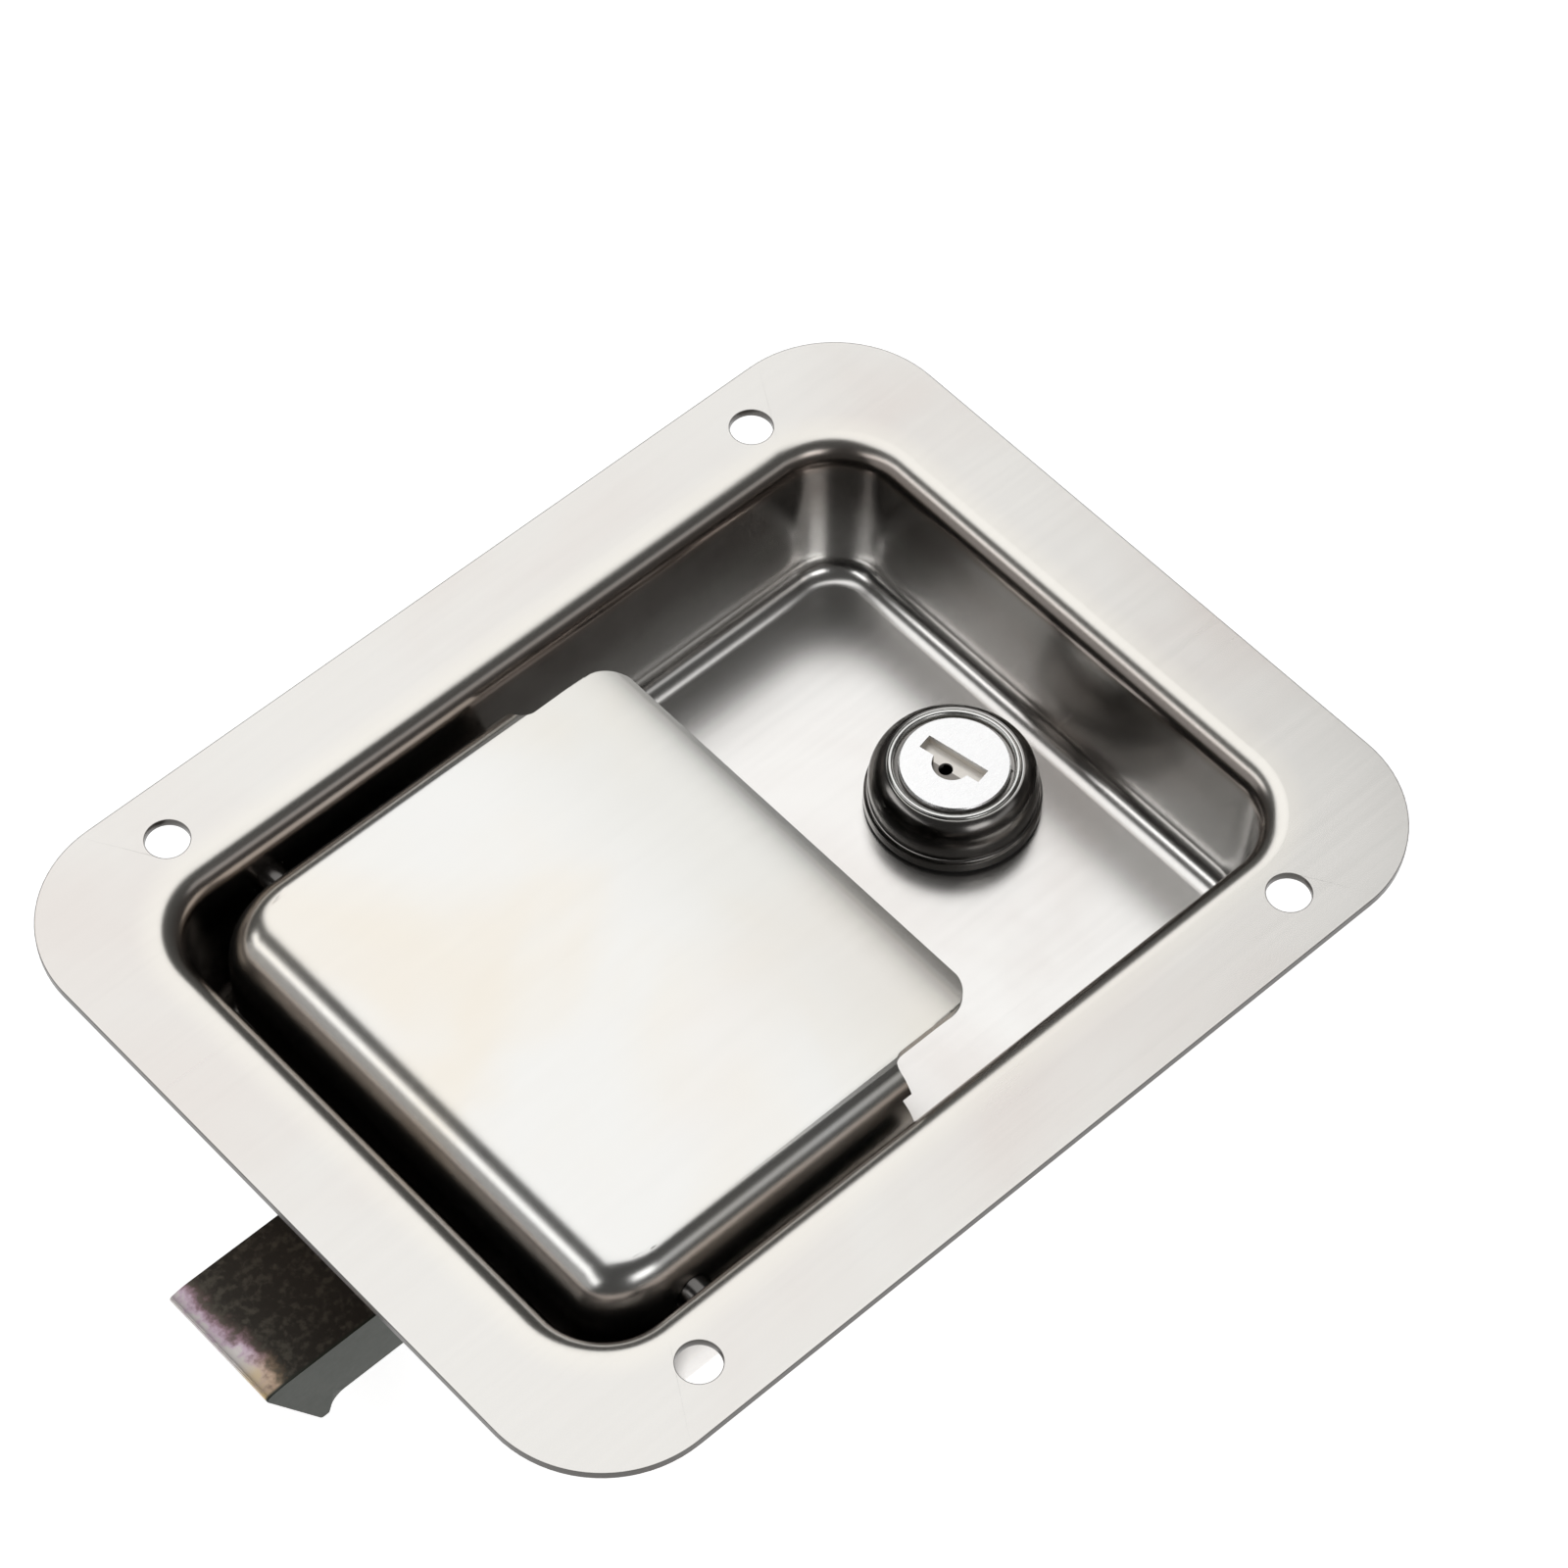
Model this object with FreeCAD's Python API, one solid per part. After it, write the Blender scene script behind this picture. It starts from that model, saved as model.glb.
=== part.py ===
# Flush paddle latch with a slam bolt and a key lock.
# Millimetres. The origin is the centre of the face plate's back, and +Z comes out of the door.
# The bolt's end is at -X and the lock's end is at +X.

import math
import os

import FreeCAD
import Part

V = FreeCAD.Vector

# Face plate and recess, one pressed sheet
plate_length = 120.65
plate_width = 95.25
plate_corner = 14.0
pan_sheet = 1.0
screw_inset_x = 19.575
screw_inset_y = 6.375
screw_hole_radius = 2.4
flange_x = 12.225
flange_y = 13.025
recess_depth = 20.0
recess_corner = 7.7
recess_draft = 3.5
rim_bend = 3.0
floor_bend = 2.8
slot_corner = 1.5
slot_side_gap = 0.7
slot_front_gap = 0.9

# Hinge pin
pin_inset = 14.6
pin_z = -5.5
pin_radius = 2.0
pin_head_radius = 3.4
pin_head_height = 1.4
pin_end = 2.6
pin_head_chamfer = 0.7
pin_tip_chamfer = 0.6
clip_thickness = 0.7
clip_radius = 4.0
clip_groove = 0.5
clip_relief = 0.8

# Paddle, one pressed sheet
paddle_sheet = 1.0
paddle_tail = 9.8
paddle_side_gap = 3.1
paddle_top = 0.6
paddle_bend = 2.8
paddle_corner = 5.0
skirt_depth = 12.0
skirt_slope = 0.24
skirt_toe_radius = 3.0
relief_radius = 1.6
lip_to_lock = 24.1
lip_length = 12.2
lip_step = 3.2
lip_corner = 3.6
lip_roll = 6.4
lip_roll_radius = 36.0
paddle_lift = 35.0

# Lever bracket under the paddle
lever_sheet = 2.0
lever_width = 9.5
lever_front = 19.0
lever_rear = 5.5
lever_bend = 2.6
lever_eye = 4.6
lever_nose = 2.0
lever_drop = 20.5
lever_shoulder = 1.5
lever_fillet = 3.0
lever_corner = 2.0

# Bolt
bolt_width = 15.875
bolt_height = 9.5
bolt_y = 1.5
bolt_reach = 8.175
bolt_tip_land = 0.45
bolt_tip_fall = 1.8
bolt_tip_curve = 9.0
bolt_bevel = 6.4
bolt_toe_drop = 2.5
bolt_toe_land = 1.0
bolt_toe_radius = 0.5
bolt_heel_run = 0.8
bolt_heel_edge = 0.3
bolt_heel_radius = 2.0
bolt_edge = 0.5
bolt_web = 4.0
bolt_tail_wall = 4.0
bolt_window_width = 10.5
bolt_window_corner = 0.6
bolt_pocket_corner = 0.8
bolt_roof = 2.0
slam_travel = 12.8
lever_gap = 0.6

# Bolt housing, spring and rivets
housing_sheet = 1.5
housing_inset = 3.6
housing_flange = 18.0
housing_corner = 3.0
housing_bend = 0.6
tab_width = 8.0
tab_height = 6.9
spring_boss_radius = 2.2
spring_boss_length = 2.5
bolt_spring_wire = 0.9
bolt_spring_diameter = 7.0
bolt_spring_pitch = 3.8
rivet_radius = 1.6
rivet_head_radius = 3.0
rivet_head_height = 1.2
rivet_tail_radius = 2.6
rivet_tail_height = 1.0
rivet_front_inset = 8.2
rivet_rear_inset = 10.4
rivet_offset = 14.0

# Paddle spring
paddle_spring_wire = 1.2
paddle_spring_radius = 3.0
paddle_spring_turns = 4
paddle_spring_gap = 0.12
paddle_spring_start = 7.5

# Lock
lock_inset = 15.1
lock_height = 7.0
head_radius = 9.75
head_step = 2.1
head_edge = 0.5
head_groove = 0.55
bulge_radius = 9.35
bulge_height = 1.9
bulge_edge = 1.6
face_ring_radius = 7.4
plug_radius = 6.1
plug_mouth = 0.4
plug_edge = 0.2
barrel_radius = 8.9
barrel_flat = 7.8
barrel_length = 11.0
barrel_chamfer = 0.6
gasket_thickness = 0.5
nut_width = 24.0
nut_thickness = 4.5
nut_chamfer = 1.6
washer_thickness = 0.9
washer_radius = 12.4
washer_teeth = 16
tooth_depth = 1.5
tooth_gap_angle = 6.3

# Plug, wafers and cam
key_angle = 11.0
keyway_length = 7.8
keyway_width = 1.85
keyway_entry = 1.2
keyway_depth = 17.0
ward_length = 6.6
ward_width = 0.9
ward_hole = 0.9
slot_u = 0.4
slot_w = 0.39
key_bulge_u = 0.2
key_bulge_w = -0.25
key_bulge_radius = 2.2
ward_hole_u = 0.75
ward_hole_w = -0.56
wafer_count = 6
wafer_pitch = 2.4
wafer_first = 3.0
wafer_thickness = 1.2
wafer_width = 4.4
wafer_travel = 0.9
wafer_rail = 0.7
wafer_offset = 0.264
wafer_lug_u = 1.0
wafer_lug_length = 0.9
wafer_lug_reach = 1.7
wafer_lug_root = 0.5
wafer_spring_radius = 0.55
wafer_spring_u = -2.35
channel_gap = 0.2
tang_width = 7.0
tang_corner = 4.4
stop_washer_thickness = 1.0
stop_washer_radius = 7.4
stop_lug_radius = 8.5
stop_lug_angle = 40.0
stop_lug_place = -153.0
stop_post_place = 25.0
cam_thickness = 2.5
cam_hub_radius = 8.2
cam_arm_width = 6.4
cam_reach = 28.5
cam_bend = 3.3
cam_tip_corner = 0.8
cam_gap = 0.7
cam_screw_radius = 2.0
cam_screw_head = 4.2
cam_screw_head_height = 2.4
cam_screw_chamfer = 1.1
cam_screw_end = 1.2
cross_length = 2.1
cross_width = 0.45
cross_depth = 1.4
split_washer_thickness = 0.9
split_washer_inset = 0.2
split_gap = 0.7

# Flats in place of an arc where a bend goes round a corner, in a turned edge and in a coil's turn
bend_flats = 4
turned_flats = 2
coil_flats = 12

# Clearances, and how far a cutting shape runs past what it cuts
running = 0.05
loose = 0.3
over = 1.0

# Levels and lines that follow from the sizes above
recess_length = plate_length - 2.0 * flange_x
recess_width = plate_width - 2.0 * flange_y
half_length = recess_length / 2.0
half_width = recess_width / 2.0
pin_x = pin_inset - half_length
lock_x = half_length - lock_inset
face_z = pan_sheet
floor_z = face_z - recess_depth
floor_back_z = floor_z - pan_sheet
draft = math.radians(recess_draft)
draft_rise = math.tan(math.radians(90.0 - recess_draft) / 2.0)
paddle_width = recess_width - 2.0 * paddle_side_gap
lip_width = paddle_width - 2.0 * lip_step
paddle_end_x = pin_x - paddle_tail
paddle_under_z = paddle_top - paddle_sheet
skirt_bottom_z = paddle_top - skirt_depth
lip_x = lock_x - lip_to_lock
skirt_end_x = lip_x - lip_length
bolt_top_z = floor_back_z - loose
bolt_bottom_z = bolt_top_z - bolt_height
window_rear_x = pin_x + lever_nose + lever_gap
window_front_x = pin_x - lever_nose - slam_travel
pocket_front_x = window_rear_x + bolt_web
pocket_roof_z = bolt_top_z - bolt_roof
bolt_tail_x = lock_x - cam_reach - cam_gap
pocket_rear_x = bolt_tail_x - bolt_tail_wall
tab_rear_x = pocket_rear_x - loose
tab_x = tab_rear_x - housing_sheet
tab_bend_x = tab_x - housing_bend
housing_front_x = housing_inset - half_length
channel_half = bolt_width / 2.0 + loose
channel_z = bolt_bottom_z - loose
bolt_axis_z = (pocket_roof_z + bolt_bottom_z) / 2.0
lock_face_z = floor_z + lock_height
barrel_end_z = floor_back_z - barrel_length
stop_washer_z = barrel_end_z - loose
cam_top_z = stop_washer_z - stop_washer_thickness
cam_bottom_z = cam_top_z - cam_thickness
nut_bottom_z = floor_back_z - washer_thickness - nut_thickness
cam_tip_z = nut_bottom_z - loose


def in_xy(z):
    """Places an outline flat at height z."""
    return lambda a, b: V(a, b, z)


def in_xz(y):
    """Places an outline upright, seen along Y, at y."""
    return lambda a, b: V(a, y, b)


def in_yz(x):
    """Places an outline upright, seen along X, at x."""
    return lambda a, b: V(x, a, b)


def outline(corners, place, flats=0):
    """A flat face from its corners (a, b, radius); each corner is rounded with its own arc.

    With flats, a rounded corner is that many short flats on the arc instead. A bend that also goes
    round a corner of the sheet is made so, because a torus there takes ten times the facets.
    """
    starts = []
    ends = []
    middles = []
    count = len(corners)
    for i in range(count):
        a, b, radius = corners[i]
        before = corners[i - 1]
        after = corners[(i + 1) % count]
        to_before = FreeCAD.Base.Vector2d(before[0] - a, before[1] - b)
        to_after = FreeCAD.Base.Vector2d(after[0] - a, after[1] - b)
        length_before = math.hypot(to_before.x, to_before.y)
        length_after = math.hypot(to_after.x, to_after.y)
        ux = to_before.x / length_before
        uy = to_before.y / length_before
        wx = to_after.x / length_after
        wy = to_after.y / length_after
        if radius <= 0.0:
            starts.append((a, b))
            ends.append((a, b))
            middles.append(None)
            continue
        half = math.acos(max(-1.0, min(1.0, ux * wx + uy * wy))) / 2.0
        tangent = radius / math.tan(half)
        size = math.hypot(ux + wx, uy + wy)
        cx = a + (ux + wx) / size * radius / math.sin(half)
        cy = b + (uy + wy) / size * radius / math.sin(half)
        starts.append((a + ux * tangent, b + uy * tangent))
        ends.append((a + wx * tangent, b + wy * tangent))
        middles.append((cx - (ux + wx) / size * radius, cy - (uy + wy) / size * radius))
    edges = []
    for i in range(count):
        if middles[i] is not None:
            bend = Part.Arc(place(*starts[i]), place(*middles[i]), place(*ends[i]))
            if flats:
                points = bend.discretize(flats + 1)
                for first, second in zip(points, points[1:]):
                    edges.append(Part.LineSegment(first, second).toShape())
            else:
                edges.append(bend.toShape())
        following = starts[(i + 1) % count]
        if math.hypot(following[0] - ends[i][0], following[1] - ends[i][1]) > 1e-6:
            edges.append(Part.LineSegment(place(*ends[i]), place(*following)).toShape())
    return Part.Face(Part.Wire(edges))


def rounded_box(half_x, half_y, radius, bottom, top, x=0.0, y=0.0):
    """An upright block with four rounded upright edges."""
    corners = [
        (x + half_x, y + half_y, radius),
        (x - half_x, y + half_y, radius),
        (x - half_x, y - half_y, radius),
        (x + half_x, y - half_y, radius),
    ]
    return outline(corners, in_xy(bottom)).extrude(V(0, 0, top - bottom))


def box(x0, x1, y0, y1, z0, z1):
    """A plain block between two corners."""
    return Part.makeBox(x1 - x0, y1 - y0, z1 - z0, V(x0, y0, z0))


def rod_y(radius, y0, y1, x, z):
    """A round bar along Y."""
    return Part.makeCylinder(radius, y1 - y0, V(x, y0, z), V(0, 1, 0))


def rod_z(radius, z0, z1, x, y):
    """A round bar along Z."""
    return Part.makeCylinder(radius, z1 - z0, V(x, y, z0), V(0, 0, 1))


def turned(corners, x, y):
    """A turned piece: the outline (r, z, radius) goes once round the upright axis at x, y."""
    face = outline([(x + r, z, radius) for r, z, radius in corners], in_xz(y), turned_flats)
    return face.revolve(V(x, y, 0), V(0, 0, 1), 360)


def join(first, others):
    """One solid from touching solids, with the seams in flat and round faces taken out."""
    return first.fuse(others).removeSplitter()


def coil(wire, radius, length, turns, leg_before=0.0, leg_after=0.0):
    """A spring along +Z from the origin, with straight legs that leave its coil tangent.

    The wire is square in section, and lofted over a few sections in each turn, which keeps the
    facets few.
    """
    steps = turns * coil_flats
    slope = math.atan(length / turns / (2.0 * math.pi * radius))
    stations = [(turns * 360.0 * i / steps, length * i / steps, 0.0) for i in range(steps + 1)]
    if leg_before > 0.0:
        stations.insert(0, (0.0, 0.0, -leg_before))
    if leg_after > 0.0:
        stations.append((turns * 360.0, length, leg_after))
    sections = []
    for turn, height, leg in stations:
        angle = math.radians(turn)
        out = V(math.cos(angle), math.sin(angle), 0)
        along = V(-math.sin(angle), math.cos(angle), 0) * math.cos(slope) + V(0, 0, math.sin(slope))
        rise = along.cross(out)
        middle = out * radius + V(0, 0, height) + along * leg
        corners = []
        for i in range(4):
            side = math.radians(45.0 + 90.0 * i)
            corners.append(middle + (out * math.cos(side) + rise * math.sin(side)) * (wire / 2.0))
        sections.append(Part.makePolygon(corners + corners[:1]))
    return Part.makeLoft(sections, True, True)


# Pan: a flat face plate, a drawn recess with drafted walls, and its flat floor.
# The section of the two bends and the wall goes round the recess once.

def wall_offset(side, z):
    """How far the drafted wall stands out from the recess's edge; side is 0 in front, 1 behind."""
    return (side * pan_sheet + (z - face_z) * math.sin(draft)) / math.cos(draft)


rim_start = rim_bend * draft_rise
floor_front_edge = wall_offset(0, floor_z)
floor_start = floor_front_edge - floor_bend * draft_rise
pan_section = [
    (rim_start, face_z, 0.0),
    (0.0, face_z, rim_bend),
    (floor_front_edge, floor_z, floor_bend),
    (floor_start, floor_z, 0.0),
    (floor_start, floor_back_z, 0.0),
    (wall_offset(1, floor_back_z), floor_back_z, floor_bend + pan_sheet),
    (wall_offset(1, 0.0), 0.0, rim_bend - pan_sheet),
    (rim_start, 0.0, 0.0),
]


def drawn_wall(section, half_x, half_y, radius):
    """The section along the four sides and round the four corners of a rounded rectangle."""
    pieces = []
    straight_x = half_x - radius
    straight_y = half_y - radius
    side_x = outline([(half_x + a, b, r) for a, b, r in section], in_xz(-straight_y), bend_flats)
    side_x = side_x.extrude(V(0, 2.0 * straight_y, 0))
    side_y = outline([(half_y + a, b, r) for a, b, r in section], in_yz(-straight_x), bend_flats)
    side_y = side_y.extrude(V(2.0 * straight_x, 0, 0))
    corner = outline([(radius + a, b, r) for a, b, r in section], in_xz(0.0), bend_flats)
    corner = corner.revolve(V(0, 0, 0), V(0, 0, 1), 90)
    for turn in range(4):
        side = (side_x if turn % 2 == 0 else side_y).copy()
        if turn >= 2:
            side.rotate(V(0, 0, 0), V(0, 0, 1), 180)
        pieces.append(side)
        bend = corner.copy()
        bend.rotate(V(0, 0, 0), V(0, 0, 1), 90 * turn)
        sign_x = 1 if turn in (0, 3) else -1
        sign_y = 1 if turn in (0, 1) else -1
        bend.translate(V(sign_x * straight_x, sign_y * straight_y, 0))
        pieces.append(bend)
    return pieces


face_plate = rounded_box(plate_length / 2.0, plate_width / 2.0, plate_corner, 0.0, face_z)
mouth = rounded_box(
    half_length + rim_start, half_width + rim_start, recess_corner + rim_start, -over, face_z + over
)
face_plate = face_plate.cut(mouth)
screw_holes = []
for sign_x in (-1, 1):
    for sign_y in (-1, 1):
        x = sign_x * (plate_length / 2.0 - screw_inset_x)
        y = sign_y * (plate_width / 2.0 - screw_inset_y)
        screw_holes.append(rod_z(screw_hole_radius, -over, face_z + over, x, y))
pan_floor = rounded_box(
    half_length + floor_start,
    half_width + floor_start,
    recess_corner + floor_start,
    floor_back_z,
    floor_z,
)
pan = join(face_plate, drawn_wall(pan_section, half_length, half_width, recess_corner) + [pan_floor])

# Slot in the pan's floor for the lever's arms, as long as their swing
slot_drop = pin_z - floor_z
slot_half_arm = lever_nose + 2.0 * loose
slot_front_x = pin_x - slot_half_arm - slot_front_gap
slot_rear_x = (
    pin_x
    + (slot_drop + pan_sheet) * math.tan(math.radians(paddle_lift))
    + slot_half_arm / math.cos(math.radians(paddle_lift))
    + loose
)
slot_half_width = lever_width / 2.0 + slot_side_gap
lever_slot = rounded_box(
    (slot_rear_x - slot_front_x) / 2.0,
    slot_half_width,
    slot_corner,
    floor_back_z - over,
    floor_z + over,
    (slot_rear_x + slot_front_x) / 2.0,
    bolt_y,
)
rivet_low_z = floor_back_z - housing_sheet
rivet_places = []
for x in (housing_front_x + rivet_front_inset, tab_bend_x - rivet_rear_inset):
    for sign in (-1, 1):
        rivet_places.append((x, bolt_y + sign * rivet_offset))
rivet_holes = []
for x, y in rivet_places:
    rivet_holes.append(rod_z(rivet_radius + running, rivet_low_z - over, floor_z + over, x, y))


def double_flat(radius, flat, bottom, top):
    """A round bar with two flats, at the lock's place, for the barrel and its hole."""
    bar = rod_z(radius, bottom, top, lock_x, 0.0)
    sides = box(lock_x - 2 * radius, lock_x + 2 * radius, -flat, flat, bottom, top)
    return bar.common(sides)


lock_hole = double_flat(
    barrel_radius + 2 * running, barrel_flat + 2 * running, floor_back_z - over, floor_z + over
)
pin_holes = rod_y(pin_radius + running, -plate_width / 2.0, plate_width / 2.0, pin_x, pin_z)
pan = pan.cut(screw_holes + [lever_slot, lock_hole, pin_holes] + rivet_holes)

# Paddle: a flat top with a bend and a skirt on three sides, and a lip that rolls down a little
paddle_section = [
    (-paddle_bend, paddle_top, 0.0),
    (0.0, paddle_top, paddle_bend),
    (0.0, skirt_bottom_z, 0.0),
    (-paddle_sheet, skirt_bottom_z, 0.0),
    (-paddle_sheet, paddle_under_z, paddle_bend - paddle_sheet),
    (-paddle_bend, paddle_under_z, 0.0),
]
paddle_half = paddle_width / 2.0
corner_x = paddle_end_x + paddle_corner
corner_y = paddle_half - paddle_corner
rail_end_x = skirt_end_x + relief_radius + skirt_slope * skirt_depth + over
skirts = []
end_section = [(paddle_end_x - a, b, r) for a, b, r in paddle_section]
end_skirt = outline(end_section, in_xz(-corner_y), bend_flats)
skirts.append(end_skirt.extrude(V(0, 2.0 * corner_y, 0)))
for sign in (-1, 1):
    rail_section = [(sign * (paddle_half + a), b, r) for a, b, r in paddle_section]
    rail = outline(rail_section, in_yz(corner_x), bend_flats)
    skirts.append(rail.extrude(V(rail_end_x - corner_x, 0, 0)))
    turn = outline(end_section, in_xz(sign * corner_y), bend_flats)
    skirts.append(turn.revolve(V(corner_x, sign * corner_y, 0), V(0, 0, 1), -90 * sign))

# The skirts' forward ends slope, with a rounded toe, and the top is relieved beside the lip
bend_line_z = paddle_top - paddle_bend
toe_x = skirt_end_x + skirt_slope * (bend_line_z - skirt_bottom_z)
skirt_side = outline(
    [
        (paddle_end_x - over, paddle_top + over, 0.0),
        (rail_end_x + over, paddle_top + over, 0.0),
        (rail_end_x + over, bend_line_z, 0.0),
        (skirt_end_x, bend_line_z, 0.0),
        (toe_x, skirt_bottom_z, skirt_toe_radius),
        (paddle_end_x - over, skirt_bottom_z, 0.0),
    ],
    in_xz(-paddle_width),
).extrude(V(0, 2.0 * paddle_width, 0))
skirts = [skirt.common(skirt_side) for skirt in skirts]

roll_start_x = lip_x - lip_roll
roll_angle = math.asin(lip_roll / lip_roll_radius)
roll_centre = V(roll_start_x, -paddle_width, paddle_top - lip_roll_radius)


def roll_point(radius, share):
    """A point on the lip's roll, at a radius and a share of its angle."""
    angle = roll_angle * share
    return roll_centre + V(radius * math.sin(angle), 0, radius * math.cos(angle))


flat_start_x = paddle_end_x + paddle_bend
under_radius = lip_roll_radius - paddle_sheet
edge_middle = roll_point(lip_roll_radius - paddle_sheet / 2.0, 1.0)
edge_out = V(math.cos(roll_angle), 0, -math.sin(roll_angle)) * (paddle_sheet / 2.0)
top_start = V(flat_start_x, -paddle_width, paddle_top)
under_start = V(flat_start_x, -paddle_width, paddle_under_z)
top_profile = Part.Wire(
    [
        Part.LineSegment(top_start, roll_point(lip_roll_radius, 0.0)).toShape(),
        Part.Arc(
            roll_point(lip_roll_radius, 0.0),
            roll_point(lip_roll_radius, 0.5),
            roll_point(lip_roll_radius, 1.0),
        ).toShape(),
        Part.Arc(
            roll_point(lip_roll_radius, 1.0), edge_middle + edge_out * 0.8, roll_point(under_radius, 1.0)
        ).toShape(),
        Part.Arc(
            roll_point(under_radius, 1.0), roll_point(under_radius, 0.5), roll_point(under_radius, 0.0)
        ).toShape(),
        Part.LineSegment(roll_point(under_radius, 0.0), under_start).toShape(),
        Part.LineSegment(under_start, top_start).toShape(),
    ]
)
top_sheet = Part.Face(top_profile).extrude(V(0, 2.0 * paddle_width, 0))
flat_half = paddle_half - paddle_bend
top_plan = outline(
    [
        (flat_start_x, flat_half, paddle_corner - paddle_bend),
        (flat_start_x, -flat_half, paddle_corner - paddle_bend),
        (rail_end_x, -flat_half, 0.0),
        (rail_end_x, -lip_width / 2.0, 0.0),
        (lip_x + paddle_sheet / 2.0, -lip_width / 2.0, lip_corner),
        (lip_x + paddle_sheet / 2.0, lip_width / 2.0, lip_corner),
        (rail_end_x, lip_width / 2.0, 0.0),
        (rail_end_x, flat_half, 0.0),
    ],
    in_xy(-skirt_depth),
).extrude(V(0, 0, 2.0 * skirt_depth))
top_sheet = top_sheet.common(top_plan)
paddle = join(top_sheet, skirts)
reliefs = []
for sign in (-1, 1):
    relief = outline(
        [
            (skirt_end_x, sign * paddle_width, 0.0),
            (skirt_end_x, sign * lip_width / 2.0, relief_radius),
            (lip_x + over, sign * lip_width / 2.0, 0.0),
            (lip_x + over, sign * paddle_width, 0.0),
        ],
        in_xy(bend_line_z),
    )
    reliefs.append(relief.extrude(V(0, 0, 2.0 * paddle_bend)))
paddle_eye = rod_y(pin_radius + running, -paddle_width, paddle_width, pin_x, pin_z)
paddle = paddle.cut(reliefs + [paddle_eye])

# Hinge pin: a headed pin through both long walls, both skirts and the lever's eyes
pan_side_y = half_width + wall_offset(1, pin_z)
head_clear = pin_head_radius * math.tan(draft) + running
head_y = -(pan_side_y + head_clear)
groove_y = pan_side_y + clip_radius * math.tan(draft) + loose
pin_tip_y = groove_y + clip_thickness + pin_end
pin_outline = [
    (0.0, head_y - pin_head_height, 0.0),
    (pin_head_radius - pin_head_chamfer, head_y - pin_head_height, 0.0),
    (pin_head_radius, head_y - pin_head_height + pin_head_chamfer, 0.0),
    (pin_head_radius, head_y, 0.0),
    (pin_radius, head_y, 0.0),
    (pin_radius, groove_y, 0.0),
    (pin_radius - clip_groove, groove_y, 0.0),
    (pin_radius - clip_groove, groove_y + clip_thickness + running, 0.0),
    (pin_radius, groove_y + clip_thickness + running, 0.0),
    (pin_radius, pin_tip_y - pin_tip_chamfer, 0.0),
    (pin_radius - pin_tip_chamfer, pin_tip_y, 0.0),
    (0.0, pin_tip_y, 0.0),
]
hinge_pin = outline(pin_outline, lambda r, y: V(pin_x + r, y, pin_z))
hinge_pin = hinge_pin.revolve(V(pin_x, 0, pin_z), V(0, 1, 0), 360)

# The open ring in the pin's groove
clip_hole = pin_radius - clip_groove + running
clip_y0 = groove_y - over
clip_y1 = groove_y + clip_thickness + over
clip_cuts = [
    rod_y(clip_hole, clip_y0, clip_y1, pin_x, pin_z),
    box(pin_x - clip_hole, pin_x + clip_hole, clip_y0, clip_y1, pin_z - clip_radius - over, pin_z),
]
for side in (-1, 1):
    relief_x = pin_x + side * (clip_hole + clip_relief)
    clip_cuts.append(rod_y(clip_relief, clip_y0, clip_y1, relief_x, pin_z + over))
pin_clip = rod_y(clip_radius, groove_y, groove_y + clip_thickness, pin_x, pin_z).cut(clip_cuts)

# Lever bracket: a web under the paddle with two arms bent down past the pin into the bolt
lever_top_z = paddle_under_z
lever_half = lever_width / 2.0
lever_inner = lever_half - lever_sheet
inner_bend = lever_bend - lever_sheet
nose_z = pin_z - lever_drop
lever_low_z = nose_z - lever_nose - over
lever_channel = outline(
    [
        (bolt_y - lever_half, lever_low_z, 0.0),
        (bolt_y - lever_half, lever_top_z, lever_bend),
        (bolt_y + lever_half, lever_top_z, lever_bend),
        (bolt_y + lever_half, lever_low_z, 0.0),
        (bolt_y + lever_inner, lever_low_z, 0.0),
        (bolt_y + lever_inner, lever_top_z - lever_sheet, inner_bend),
        (bolt_y - lever_inner, lever_top_z - lever_sheet, inner_bend),
        (bolt_y - lever_inner, lever_low_z, 0.0),
    ],
    in_yz(pin_x - lever_rear - over),
).extrude(V(lever_rear + lever_front + 2.0 * over, 0, 0))
shoulder_z = floor_z + lever_shoulder
flank = lever_eye - lever_nose
lever_side = outline(
    [
        (pin_x - lever_rear, lever_top_z + over, 0.0),
        (pin_x - lever_rear, pin_z - flank, lever_corner),
        (pin_x - lever_nose, shoulder_z, lever_fillet),
        (pin_x - lever_nose, nose_z, 0.0),
        (pin_x - lever_nose, nose_z - lever_nose, lever_nose * 0.95),
        (pin_x + lever_nose, nose_z - lever_nose, lever_nose * 0.95),
        (pin_x + lever_nose, nose_z, 0.0),
        (pin_x + lever_nose, shoulder_z, lever_fillet),
        (pin_x + lever_eye, pin_z - flank, lever_fillet),
        (pin_x + lever_front, lever_top_z - 2.0 * lever_sheet, lever_corner),
        (pin_x + lever_front, lever_top_z + over, 0.0),
    ],
    in_xz(bolt_y - lever_width),
).extrude(V(0, 2.0 * lever_width, 0))
lever_eyes = rod_y(pin_radius + running, bolt_y - lever_width, bolt_y + lever_width, pin_x, pin_z)
paddle_lever = lever_channel.common(lever_side).cut(lever_eyes)

# Paddle spring: a coil round the pin, one leg up under the paddle and one down on the floor
spring_length = paddle_spring_turns * (paddle_spring_wire + paddle_spring_gap)
paddle_spring = coil(
    paddle_spring_wire,
    paddle_spring_radius,
    spring_length,
    paddle_spring_turns,
    pin_z - floor_z - 2.0 * running,
    paddle_under_z - pin_z - 2.0 * running,
)
paddle_spring.rotate(V(0, 0, 0), V(1, 0, 0), -90)
paddle_spring.rotate(V(0, 0, 0), V(0, 1, 0), 180)
paddle_spring.translate(V(pin_x, bolt_y + paddle_spring_start, pin_z))

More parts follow.
